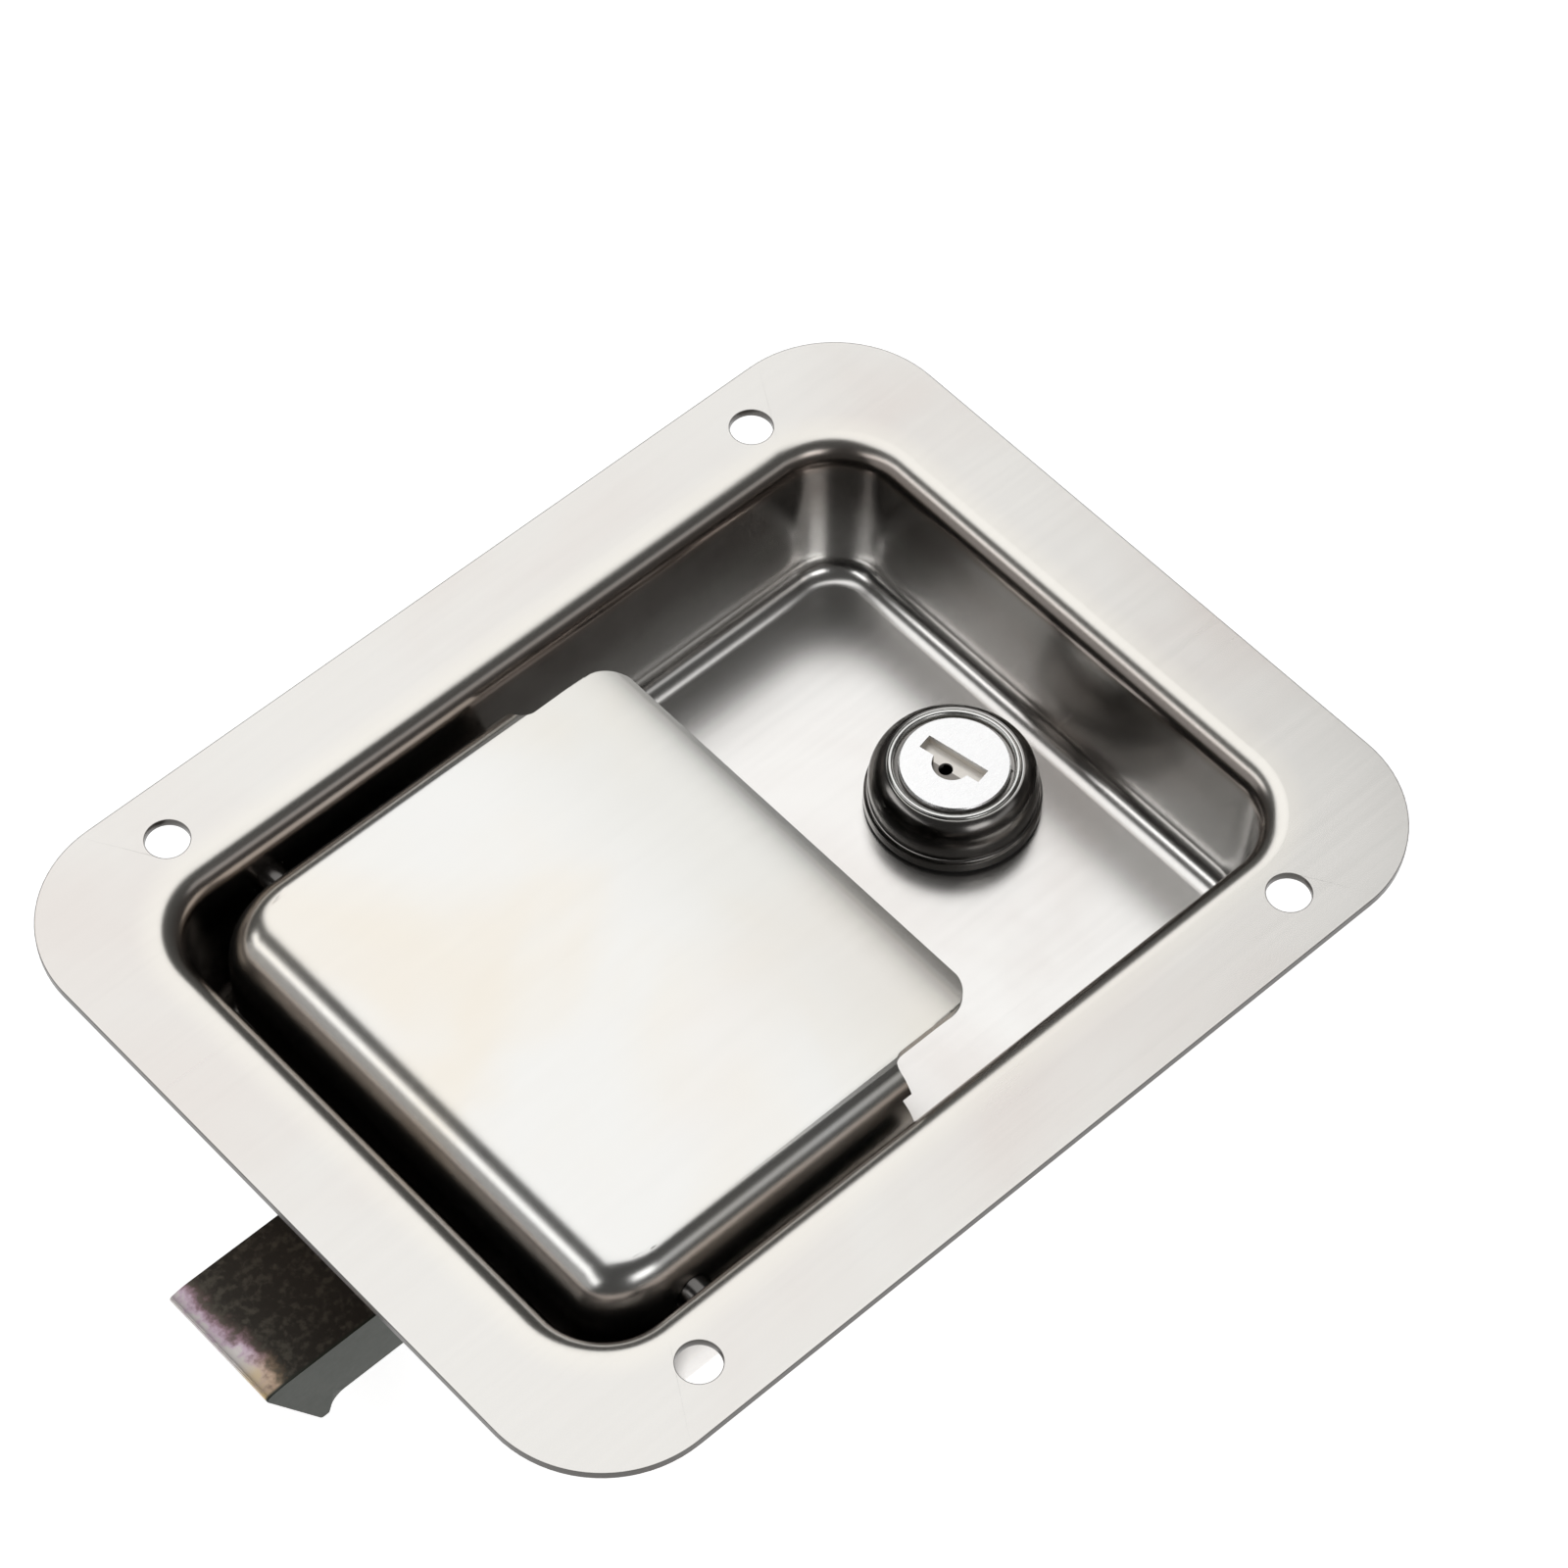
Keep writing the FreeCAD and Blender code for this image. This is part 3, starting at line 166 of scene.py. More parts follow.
class Finish:
    """A material of one metal or rubber, built node by node from a Principled shader."""

    def __init__(self, name, colour, metallic, roughness):
        self.material = bpy.data.materials.new(name)
        self.material.use_nodes = True
        self.tree = self.material.node_tree
        self.shader = self.tree.nodes["Principled BSDF"]
        self.shader.inputs["Base Color"].default_value = (*colour, 1)
        self.shader.inputs["Metallic"].default_value = metallic
        self.shader.inputs["Roughness"].default_value = roughness
        self.place = self.node("TexCoord", {}, {}, "Object")
        x, y, z = (self.node("SeparateXYZ", {}, {0: self.place}, axis) for axis in "XYZ")
        self.x, self.y, self.z = x, y, z

    def node(self, kind, settings, inputs, output=0):
        """Adds a node: its settings first, then the values or links of its sockets."""
        made = self.tree.nodes.new("ShaderNode" + kind)
        for key, value in settings.items():
            if key == "stops":
                ramp = made.color_ramp
                while len(ramp.elements) < len(value):
                    ramp.elements.new(0.5)
                for element, (position, shade) in zip(ramp.elements, value):
                    element.position = position
                    element.color = (*shade, 1)
            else:
                setattr(made, key, value)
        for key, value in inputs.items():
            if isinstance(value, Value):
                self.tree.links.new(value.socket, made.inputs[key])
            else:
                made.inputs[key].default_value = value
        return Value(self, made.outputs[output])

    def stretched(self, x, y, z):
        """The place on the piece, with the pattern drawn out by these factors."""
        return self.node("Mapping", {}, {"Vector": self.place, "Scale": (x, y, z)})

    def noise(self, scale, detail=2.0, vector=None, distortion=0.0):
        """A cloud pattern from 0 to 1; scale is the number of clouds in a metre."""
        inputs = {
            "Vector": vector or self.place,
            "Scale": scale,
            "Detail": detail,
            "Distortion": distortion,
        }
        return self.node("TexNoise", {}, inputs, "Fac")

    def between(self, value, low, high, to_low=0.0, to_high=1.0):
        """The value taken from one range to another, held at both ends."""
        inputs = {0: value, 1: low, 2: high, 3: to_low, 4: to_high}
        return self.node("MapRange", {"interpolation_type": "SMOOTHSTEP"}, inputs)

    def mix(self, share, first, second):
        """One colour over another by a share."""
        inputs = {0: share, 6: first, 7: second}
        for key in (6, 7):
            if not isinstance(inputs[key], Value):
                inputs[key] = (*inputs[key], 1)
        return self.node("Mix", {"data_type": "RGBA"}, inputs, 2)

    def vary_surface(self, **sockets):
        """Links what changes over the surface to the shader."""
        names = {"colour": "Base Color", "roughness": "Roughness", "metallic": "Metallic"}
        for key, value in sockets.items():
            self.tree.links.new(value.socket, self.shader.inputs[names[key]])

    def bump(self, height, strength, distance):
        """A fine relief from a height pattern, in metres."""
        inputs = {"Height": height, "Strength": strength, "Distance": distance}
        relief = self.node("Bump", {}, inputs)
        self.tree.links.new(relief.socket, self.shader.inputs["Normal"])


def plain(primitive, name, location=(0, 0, 0), scale=(1, 1, 1), rotation=(0, 0, 0), **sizes):
    """Adds one primitive with nothing else selected, and puts its place into its mesh."""
    if bpy.context.mode != "OBJECT":
        bpy.ops.object.mode_set(mode="OBJECT")
    bpy.ops.object.select_all(action="DESELECT")
    add = getattr(bpy.ops.mesh, "primitive_" + primitive + "_add")
    add(location=[value * mm for value in location], rotation=rotation, **sizes)
    piece = bpy.context.active_object
    piece.name = name
    piece.data.name = name
    piece.scale = [value * mm for value in scale]
    bpy.ops.object.transform_apply(location=True, rotation=True, scale=True)
    return piece


def pick(kind, test):
    """Selects the faces, edges or points in edit mode whose middle, in mm, passes the test."""
    bpy.ops.mesh.select_mode(type={"faces": "FACE", "edges": "EDGE", "verts": "VERT"}[kind])
    bpy.ops.mesh.select_all(action="DESELECT")
    shape = bmesh.from_edit_mesh(bpy.context.edit_object.data)
    shape.normal_update()
    for part in getattr(shape, kind):
        if kind == "verts":
            middle = part.co / mm
        elif kind == "edges":
            middle = (part.verts[0].co + part.verts[1].co) / 2.0 / mm
        else:
            middle = part.calc_center_median() / mm
        if test(middle, part):
            part.select_set(True)
    bmesh.update_edit_mesh(bpy.context.edit_object.data)


def edit(piece):
    """Goes into edit mode on the piece."""
    bpy.context.view_layer.objects.active = piece
    bpy.ops.object.mode_set(mode="EDIT")


def done():
    """Leaves edit mode."""
    bpy.ops.object.mode_set(mode="OBJECT")


def modify(piece, kind, **settings):
    """Adds a modifier with its settings and applies it."""
    bpy.ops.object.select_all(action="DESELECT")
    piece.select_set(True)
    bpy.context.view_layer.objects.active = piece
    modifier = piece.modifiers.new(kind.lower(), kind)
    for key, value in settings.items():
        setattr(modifier, key, value)
    bpy.ops.object.modifier_apply(modifier=modifier.name)


def cut(piece, cutters, solver="EXACT"):
    """Takes the cutters out of the piece, and the cutters away."""
    for cutter in cutters:
        modify(piece, "BOOLEAN", operation="DIFFERENCE", object=cutter, solver=solver)
        bpy.data.objects.remove(cutter)


def drill(x, y, z0, z1, radius, sides=64):
    """A round cutter along Z."""
    where = (x, y, (z0 + z1) / 2.0)
    return plain("cylinder", "drill", where, vertices=sides, radius=radius, depth=z1 - z0)


def arc(centre, radius, start, end, steps):
    """Points on an arc in a section, as (out, up); angles in degrees from straight out."""
    points = []
    for i in range(steps + 1):
        angle = math.radians(start + (end - start) * i / steps)
        points.append((centre[0] + radius * math.cos(angle), centre[1] + radius * math.sin(angle)))
    return points


def rounded_plane(name, half_x, half_y, radius, z, segments, x=0.0, y=0.0):
    """A flat sheet with four rounded corners, left in edit mode with its face selected."""
    sheet = plain("plane", name, (x, y, z), (2.0 * half_x, 2.0 * half_y, 1.0), size=1.0)
    edit(sheet)
    bpy.ops.mesh.select_all(action="SELECT")
    bpy.ops.mesh.bevel(offset=radius * mm, segments=segments, affect="VERTICES")
    bpy.ops.mesh.select_mode(type="FACE")
    bpy.ops.mesh.select_all(action="SELECT")
    return sheet


def punch(half_x, half_y, radius, z0, z1, x, y):
    """A cutter along Z with the outline of a rounded rectangle."""
    tool = rounded_plane("punch", half_x, half_y, radius, z0, 6, x, y)
    bpy.ops.mesh.extrude_region_move(TRANSFORM_OT_translate={"value": (0, 0, (z1 - z0) * mm)})
    bpy.ops.mesh.select_all(action="SELECT")
    bpy.ops.mesh.normals_make_consistent(inside=False)
    done()
    return tool


def crisp(piece, bevel, angle=35.0, segments=2):
    """Breaks the piece's sharp edges a little and shades its bends smooth."""
    if bevel:
        modify(
            piece,
            "BEVEL",
            width=bevel * mm,
            segments=segments,
            limit_method="ANGLE",
            angle_limit=math.radians(50.0),
        )
    bpy.ops.object.select_all(action="DESELECT")
    piece.select_set(True)
    bpy.context.view_layer.objects.active = piece
    bpy.ops.object.shade_smooth_by_angle(angle=math.radians(angle))
    modify(piece, "WEIGHTED_NORMAL", keep_sharp=True, weight=60)


def finish_piece(piece, material, body, slot, *nodes):
    """Gives the piece its material, its body and the CAD nodes that it stands for."""
    piece.data.materials.clear()
    piece.data.materials.append(material)
    if body:
        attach(piece, body)
    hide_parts(*nodes)


gauge = 1.0
plate_x, plate_y, plate_corner = 60.325, 47.625, 14.0
recess_x, recess_y, recess_corner = 48.1, 34.6, 7.7
rim_out, rim_radius, foot_in, foot_radius, draft = 2.822, 3.0, 3.857, 2.8, 3.5
rim = arc((rim_out, gauge - rim_radius), rim_radius, 90.0, 180.0 - draft, 12)
foot = arc((-foot_in, foot_radius - 19.0), foot_radius, -draft, -90.0, 12)
section = rim + foot
mouth_sizes = [size + rim_out for size in (recess_x, recess_y, recess_corner)]
pan = rounded_plane("pan_sheet", *mouth_sizes, gauge, 20)
for (out, up), (next_out, next_up) in zip(section, section[1:]):
    bpy.ops.mesh.inset(thickness=(out - next_out) * mm, depth=(next_up - up) * mm)
done()
plate = rounded_plane("plate", plate_x, plate_y, plate_corner, gauge, 20)
bpy.ops.mesh.delete(type="ONLY_FACE")
done()
bpy.ops.object.select_all(action="DESELECT")
plate.select_set(True)
pan.select_set(True)
bpy.context.view_layer.objects.active = pan
bpy.ops.object.join()
edit(pan)
pick("edges", lambda middle, edge: len(edge.link_faces) < 2)
bpy.ops.mesh.bridge_edge_loops()
bpy.ops.mesh.select_all(action="SELECT")
bpy.ops.mesh.normals_make_consistent(inside=False)
done()
screw_x, screw_y, screw_bore = 40.75, 41.25, 2.4
cutters = [
    drill(x * screw_x, y * screw_y, -1.0, 2.0, screw_bore) for x in (-1, 1) for y in (-1, 1)
]
modify(pan, "SOLIDIFY", thickness=gauge * mm, offset=-1.0, use_even_offset=True)
lock_x = 33.0
lock_hole = drill(lock_x, 0.0, -21.0, -18.0, 9.0)
lever_slot = punch(8.56, 5.45, 1.5, -21.0, -18.0, -28.44, 1.5)
pin_x, pin_z = -33.5, -5.5


def pin_bore(radius):
    """A round cutter along the hinge pin, wider than the latch."""
    place, turn = (pin_x, 0.0, pin_z), (math.pi / 2.0, 0, 0)
    sizes = {"vertices": 48, "radius": radius, "depth": 90.0}
    return plain("cylinder", "pin_bore", place, rotation=turn, **sizes)


cut(pan, cutters + [lock_hole, lever_slot, pin_bore(2.05)])
crisp(pan, 0.15)
face_steel = Finish("face_steel", (0.8, 0.785, 0.76), 1.0, 0.3)
clouds = face_steel.noise(22.0, 4.0, distortion=0.6)
small = face_steel.noise(160.0, 3.0)
lines = face_steel.noise(1.0, 2.0, face_steel.stretched(30.0, 1200.0, 1200.0))
sunk = face_steel.between(face_steel.z, -0.002, -0.018)
drawn = face_steel.between(face_steel.z, 0.0008, -0.001) - face_steel.between(
    face_steel.z, -0.0182, -0.0188
)
# Painted light: the sheet is painted lighter the deeper it lies, so the recess floor is lighter
# than the plate.
bright = face_steel.mix(sunk, (0.74, 0.727, 0.70), (0.86, 0.85, 0.83))
tint = face_steel.between(clouds, 0.42, 0.72)
tone_and_painted_light = face_steel.mix(tint * 0.55 + small * 0.12, bright, (0.70, 0.64, 0.605))


def length(x, y):
    """The length of a line from how far it goes along X and along Y."""
    return (x * x + y * y) ** 0.5


def size_of(finish, value):
    """A value without its sign."""
    return finish.node("Math", {"operation": "ABSOLUTE"}, {0: value})


def beyond(finish, value, limit):
    """How far the size of a value goes past a limit, or 0."""
    past = size_of(finish, value) - limit * mm
    return finish.node("Math", {"operation": "MAXIMUM"}, {0: past, 1: 0.0})


def out_of(finish, half_x, half_y):
    """How far a place lies outside a rectangle."""
    return length(beyond(finish, finish.x, half_x), beyond(finish, finish.y, half_y))


mouth = out_of(face_steel, recess_x - recess_corner, recess_y - recess_corner)
# Painted highlight: a light cream band on the plate round the recess mouth.
mouth_highlight = face_steel.between(mouth, 13.5 * mm, 10.0 * mm) * face_steel.between(
    face_steel.z, -0.0005, 0.0009
)
tone_and_painted_light = face_steel.mix(mouth_highlight * 0.6, tone_and_painted_light, (0.82, 0.79, 0.73))
# Painted shade: the recess walls are painted dark brown and mottled, less dark on the +X end wall
# as a painted reflection.
wall = drawn * face_steel.between(mouth, 4.5 * mm, 6.5 * mm)
high = wall * face_steel.between(face_steel.z, -0.0165, -0.0045)
far_end = face_steel.between(face_steel.x, 0.040, 0.044) * face_steel.between(
    face_steel.y, 0.026, 0.008
)
shade = high * (0.5 + small * 0.45) * (1.0 - far_end * 0.6)
tone_and_painted_light = face_steel.mix(shade, tone_and_painted_light, (0.17, 0.145, 0.13))
# Painted shade: a brown band on the bend into the recess.
mouth_bend_shade = face_steel.between(face_steel.z, 0.0007, 0.0) * face_steel.between(
    face_steel.z, -0.0030, -0.0015
)
tone_and_painted_light = face_steel.mix(mouth_bend_shade * 0.6, tone_and_painted_light, (0.42, 0.345, 0.30))
# Painted shade: near black low in the recess at the paddle's hinge end, round its end skirt.
under = face_steel.between(face_steel.x, -0.036, -0.040) * face_steel.between(
    face_steel.z, -0.003, -0.007
)
tone_and_painted_light = face_steel.mix(under * 0.85, tone_and_painted_light, (0.07, 0.06, 0.055))
# Painted shade: thin dark lines on the plate's outer edge and round the screw holes.
corner = out_of(face_steel, plate_x - plate_corner, plate_y - plate_corner)
rim_edge_shade = face_steel.between(corner, (plate_corner - 0.14) * mm, (plate_corner - 0.02) * mm)
hole_x = size_of(face_steel, face_steel.x) - screw_x * mm
hole_y = size_of(face_steel, face_steel.y) - screw_y * mm
hole_edge_shade = face_steel.between(
    length(hole_x, hole_y), (screw_bore + 0.14) * mm, (screw_bore + 0.02) * mm
)
face_steel.vary_surface(
    colour=face_steel.mix(rim_edge_shade + hole_edge_shade, tone_and_painted_light, (0.10, 0.095, 0.09)),
    roughness=0.19 + lines * 0.05 + clouds * 0.08 - drawn * 0.04,
)
scratch = face_steel.noise(1.0, 1.0, face_steel.stretched(90.0, 2600.0, 900.0))
relief = lines * 0.7 + face_steel.between(scratch, 0.66, 0.74) * 0.5
face_steel.bump(relief * (1.0 - drawn), 0.03, 0.00004)
finish_piece(pan, face_steel.material, "pan_group", "face_steel", "pan")

# Paddle
# One sheet of 1 mm steel with a bent skirt on three sides and a lip that rolls down a little
# for the fingers. Its colour holds painted shade toward the lip and on the skirts.
paddle_left, paddle_half, paddle_top, paddle_corner = -44.4, 32.3, 0.6, 6.5
skirt_low, skirt_right, rail_right, bend, lip_half = -11.4, -3.3, 3.0, 4.3, 28.3
paddle = plain(
    "cube",
    "paddle_sheet",
    ((paddle_left + rail_right) / 2.0, 0.0, (paddle_top + skirt_low) / 2.0),
    (rail_right - paddle_left, 2.0 * paddle_half, paddle_top - skirt_low),
    size=1.0,
)
edit(paddle)
pick("faces", lambda middle, face: face.normal.z < -0.5 or face.normal.x > 0.5)
bpy.ops.mesh.delete(type="FACE")
pick(
    "edges",
    lambda middle, edge: middle.x < paddle_left + 0.1
    and abs(edge.verts[0].co.z - edge.verts[1].co.z) > mm,
)
bpy.ops.mesh.bevel(offset=paddle_corner * mm, segments=16)
pick(
    "edges",
    lambda middle, edge: middle.z > paddle_top - 0.01
    and len(edge.link_faces) == 2
    and abs(edge.link_faces[0].normal.z - edge.link_faces[1].normal.z) > 0.5,
)
bpy.ops.mesh.bevel(offset=bend * mm, segments=12, profile=0.5)
pick("verts", lambda middle, vert: paddle_top - bend - 0.1 < middle.z < paddle_top - 0.01)
bpy.ops.transform.resize(value=(1, 1, 1.5), center_override=(0, 0, paddle_top * mm))
roll_start, roll_radius, roll_turn = 2.5, 36.0, math.asin(6.4 / 36.0)
pick(
    "edges",
    lambda middle, edge: middle.x > rail_right - 0.1
    and middle.z > paddle_top - 0.4
    and len(edge.link_faces) == 1,
)
bpy.ops.transform.translate(value=((roll_start - rail_right) * mm, 0, 0))
bpy.ops.mesh.spin(
    steps=10,
    angle=-roll_turn,
    center=(roll_start * mm, 0, (paddle_top - roll_radius) * mm),
    axis=(0, 1, 0),
)
done()
modify(paddle, "SOLIDIFY", thickness=gauge * mm, offset=-1.0, use_even_offset=True)
lip_end, lip_corner = 8.95, 3.8
for side in (-1, 1):
    spandrel = plain(
        "cube",
        "spandrel",
        (lip_end - lip_corner + 5.0, side * (lip_half - lip_corner + 5.0), 0.0),
        (10.0, 10.0, 8.0),
        size=1.0,
    )
    where = (lip_end - lip_corner, side * (lip_half - lip_corner))
    cut(spandrel, [drill(*where, -5.0, 5.0, lip_corner)])
    cut(paddle, [spandrel])
    notch = plain(
        "cube",
        "notch",
        (skirt_right + 20.0, side * (lip_half + 10.0), 2.8),
        (40.0, 20.0, 10.0),
        size=1.0,
    )
    edit(notch)
    pick(
        "edges",
        lambda middle, edge: middle.x < skirt_right + 0.1
        and abs(middle.y) < lip_half + 0.1
        and abs(edge.verts[0].co.z - edge.verts[1].co.z) > mm,
    )
    bpy.ops.mesh.bevel(offset=1.6 * mm, segments=8)
    done()
    cut(paddle, [notch])
slope_cut = plain("cube", "slope", (15.5, 0.0, -9.2), (40.0, 80.0, 14.0), size=1.0)
edit(slope_cut)
pick("verts", lambda middle, vert: middle.x < -4.0 and middle.z < -10.0)
bpy.ops.transform.translate(value=(3.36 * mm, 0, 0))
done()
cut(paddle, [slope_cut])
edit(paddle)
pick(
    "edges",
    lambda middle, edge: middle.x > -3.0
    and middle.z < skirt_low + 0.1
    and abs(edge.verts[0].co.y - edge.verts[1].co.y) > 0.5 * mm,
)
bpy.ops.mesh.bevel(offset=2.4 * mm, segments=6)
pick("verts", lambda middle, vert: middle.x < paddle_left + paddle_corner + 0.1)
bpy.ops.transform.resize(value=(1.4, 1, 1), center_override=(paddle_left * mm, 0, 0))
done()
crisp(paddle, 0.3, segments=3)
cut(paddle, [pin_bore(2.15)])
crisp(paddle, 0.0)
paddle_steel = Finish("paddle_steel", (0.8, 0.785, 0.75), 1.0, 0.25)
clouds = paddle_steel.noise(26.0, 3.0, distortion=0.5)
patches = paddle_steel.noise(14.0, 2.0, paddle_steel.stretched(1.0, 1.6, 1.0))
grain = paddle_steel.noise(1.0, 2.0, paddle_steel.stretched(60.0, 900.0, 900.0))
cream = paddle_steel.mix(
    paddle_steel.between(clouds, 0.42, 0.70), (0.79, 0.785, 0.765), (0.80, 0.755, 0.68)
)
pink = paddle_steel.between(patches, 0.55, 0.75) * 0.6
tone_and_painted_light = paddle_steel.mix(pink, cream, (0.76, 0.72, 0.71))
# Painted shade: the paddle darkens toward its lip.
lip_shade = paddle_steel.between(paddle_steel.x, -0.016, 0.004)
tone_and_painted_light = paddle_steel.mix(lip_shade * 0.5, tone_and_painted_light, (0.66, 0.65, 0.61))
# Painted shade: the skirts below the top are painted near black.
skirt = paddle_steel.between(paddle_steel.z, -0.0052, -0.0074)
paddle_steel.vary_surface(
    colour=paddle_steel.mix(skirt * 0.8, tone_and_painted_light, (0.12, 0.105, 0.095)),
    roughness=0.18 + grain * 0.04 + clouds * 0.08,
)
paddle_steel.bump(grain * (1.0 - skirt), 0.02, 0.00004)
finish_piece(paddle, paddle_steel.material, "paddle_group", "paddle_steel", "paddle")

# Bolt
# A cast bar with a bevelled nose and a toe that hooks behind the frame, pierced for the lever and
# hollowed for its spring. It is burnished dark brown, and the nose has turned pink and gold. Its
# -Y flank is painted near black as painted shade.
bolt_y = 1.5
bolt = plain("cube", "bolt_bar", (-32.35, bolt_y, -25.05), (72.3, 15.88, 9.5), size=1.0)
edit(bolt)
for x in (-61.1, -60.3):
    bpy.ops.mesh.select_all(action="SELECT")
    bpy.ops.mesh.bisect(plane_co=(x * mm, 0, 0), plane_no=(1, 0, 0))
pick("faces", lambda middle, face: middle.x < -61.1 and face.normal.z > 0.9)
bpy.ops.mesh.bisect(plane_co=(-66.7 * mm, 0, 0), plane_no=(1, 0, 0))
pick("verts", lambda middle, vert: middle.x < -68.0 and middle.z > -21.0)
bpy.ops.transform.translate(value=(0, 0, -0.45 * mm))
pick("verts", lambda middle, vert: middle.x < -68.0 and middle.z < -29.0)
bpy.ops.transform.translate(value=(6.4 * mm, 0, -2.5 * mm))
pick("verts", lambda middle, vert: abs(middle.x + 61.1) < 0.1 and middle.z < -29.0)
bpy.ops.transform.translate(value=(0, 0, -2.5 * mm))
for x, z, offset, segments in (
    (-66.7, -20.3, 1.1, 8),
    (-68.5, -20.75, 0.59, 8),
    (-62.1, -32.3, 0.3, 4),
    (-61.1, -32.3, 0.22, 4),
    (-60.3, -29.8, 1.4, 6),
):
    pick(
        "edges",
        lambda middle, edge: abs(middle.x - x) < 0.05
        and abs(middle.z - z) < 0.05
        and abs(middle.y - bolt_y) < 0.1,
    )
    bpy.ops.mesh.bevel(offset=offset * mm, segments=segments)
done()
crisp(bolt, 0.4, segments=3)
lever_window = punch(8.7, 5.25, 0.6, -31.0, -19.0, -39.6, bolt_y)
spring_pocket = punch(13.35, 5.25, 0.8, -31.0, -22.3, -13.55, bolt_y)
cut(bolt, [lever_window, spring_pocket])
crisp(bolt, 0.0)
burnish = Finish("bolt_metal", (0.06, 0.05, 0.045), 0.85, 0.26)
speckle = burnish.noise(1100.0, 4.0)
smear = burnish.noise(170.0, 3.0, burnish.stretched(0.6, 1.0, 1.0), distortion=0.8)
nose = burnish.between(
    burnish.x + (smear - 0.5) * 0.004 + (speckle - 0.5) * 0.003, -0.0645, -0.0682
)
side = burnish.between(burnish.y + (smear - 0.5) * 0.005, -0.0015, -0.0058)
heat = burnish.node(
    "ValToRGB",
    {
        "stops": (
            (0.0, (0.050, 0.046, 0.040)),
            (0.3, (0.13, 0.10, 0.09)),
            (0.6, (0.34, 0.23, 0.27)),
            (0.85, (0.60, 0.47, 0.56)),
            (1.0, (0.66, 0.62, 0.60)),
        )
    },
    {0: nose},
)
gold = burnish.mix(side * nose, heat, (0.62, 0.47, 0.27))
dusty = burnish.between(speckle, 0.45, 0.70) * (1.0 - nose) * 0.5
tone_and_painted_light = burnish.mix(dusty, gold, (0.17, 0.16, 0.13))
# Painted shade: the bolt's flank facing -Y is painted near black.
flank_shade = burnish.between(burnish.y, -0.0059, -0.0063)
tone_and_painted_light = burnish.mix(flank_shade, tone_and_painted_light, (0.045, 0.05, 0.042))
tip = burnish.between(burnish.x, -0.0682, -0.0685)
burnish.vary_surface(
    colour=burnish.mix(tip * 0.8, tone_and_painted_light, (0.05, 0.045, 0.045)),
    roughness=0.24 + smear * 0.12 + speckle * 0.14,
)
burnish.bump(speckle, 0.10, 0.00005)
finish_piece(bolt, burnish.material, "bolt_group", "bolt_metal", "bolt")


# Lock body
# A turned head with a black chrome skin: a short drum, a fine groove, a dome and a rounded ring
# whose crest is painted silver as a painted highlight. Its barrel goes down through the floor
# and has two flats.
def lathe(name, points, x, y, sides=96):
    """A turned piece: a disc that is carried up along a section of (radius, z)."""
    radius, z = points[0]
    piece = plain("circle", name, (x, y, z), vertices=sides, radius=radius, fill_type="NGON")
    edit(piece)
    for (radius, z), (next_radius, next_z) in zip(points, points[1:]):
        bpy.ops.mesh.select_mode(type="FACE")
        bpy.ops.mesh.extrude_region_move(
            TRANSFORM_OT_translate={"value": (0, 0, (next_z - z) * mm)}
        )
        share = next_radius / radius
        bpy.ops.transform.resize(value=(share, share, 1), center_override=(x * mm, y * mm, 0))
    bpy.ops.mesh.select_all(action="SELECT")
    bpy.ops.mesh.normals_make_consistent(inside=False)
    done()
    return piece


key_turn = 11.0


def key_spot(u, w, turn=0.0):
    """A place u along the keyway and w across it from the lock's centre, turned about it."""
    angle = math.radians(key_turn + turn)
    x = lock_x - math.sin(angle) * u + math.cos(angle) * w
    return x, math.cos(angle) * u + math.sin(angle) * w


def key_cutter(u0, u1, w0, w1, low, high, turn=0.0):
    """A slot cutter in the keyway's directions."""
    x, y = key_spot((u0 + u1) / 2.0, (w0 + w1) / 2.0, turn)
    size = (w1 - w0, u1 - u0, high - low)
    angle = math.radians(key_turn + turn)
    return plain("cube", "keyway", (x, y, (low + high) / 2.0), size, (0, 0, angle), size=1.0)


head_section = [(8.3, -31.0), (8.9, -30.4), (8.9, -18.5), (9.75, -18.5), (9.75, -17.4)]
head_section += arc((9.25, -17.4), 0.5, 15.0, 90.0, 5)
head_section += [(9.2, -16.9), (9.35, -16.35)]
head_section += arc((5.9, -15.2), 3.45, 0.0, 60.0, 14)
head_section += arc((6.97, -12.42), 0.42, 20.0, 160.0, 8)
head_section += [(6.5, -12.65), (6.0, -12.7)]
lock = lathe("lock_drum", head_section, lock_x, 0.0, 128)
flats = [
    plain("cube", "flat", (lock_x, side * 12.8, -25.3), (30.0, 10.0, 13.5), size=1.0)
    for side in (-1, 1)
]
wafer_rooms = [key_cutter(0.0, 7.2, -2.66, 2.14, -28.5, -14.7, turn) for turn in (0.0, -90.0)]
cut(lock, flats + [drill(lock_x, 0.0, -32.0, -11.0, 6.15, 128)] + wafer_rooms)
crisp(lock, 0.0, angle=32.0)
black_chrome = Finish("black_chrome", (0.20, 0.195, 0.19), 1.0, 0.12)
haze = black_chrome.noise(90.0, 3.0)
wipe = black_chrome.noise(1.0, 2.0, black_chrome.stretched(700.0, 700.0, 60.0))
from_axis = length(black_chrome.x - lock_x * mm, black_chrome.y)
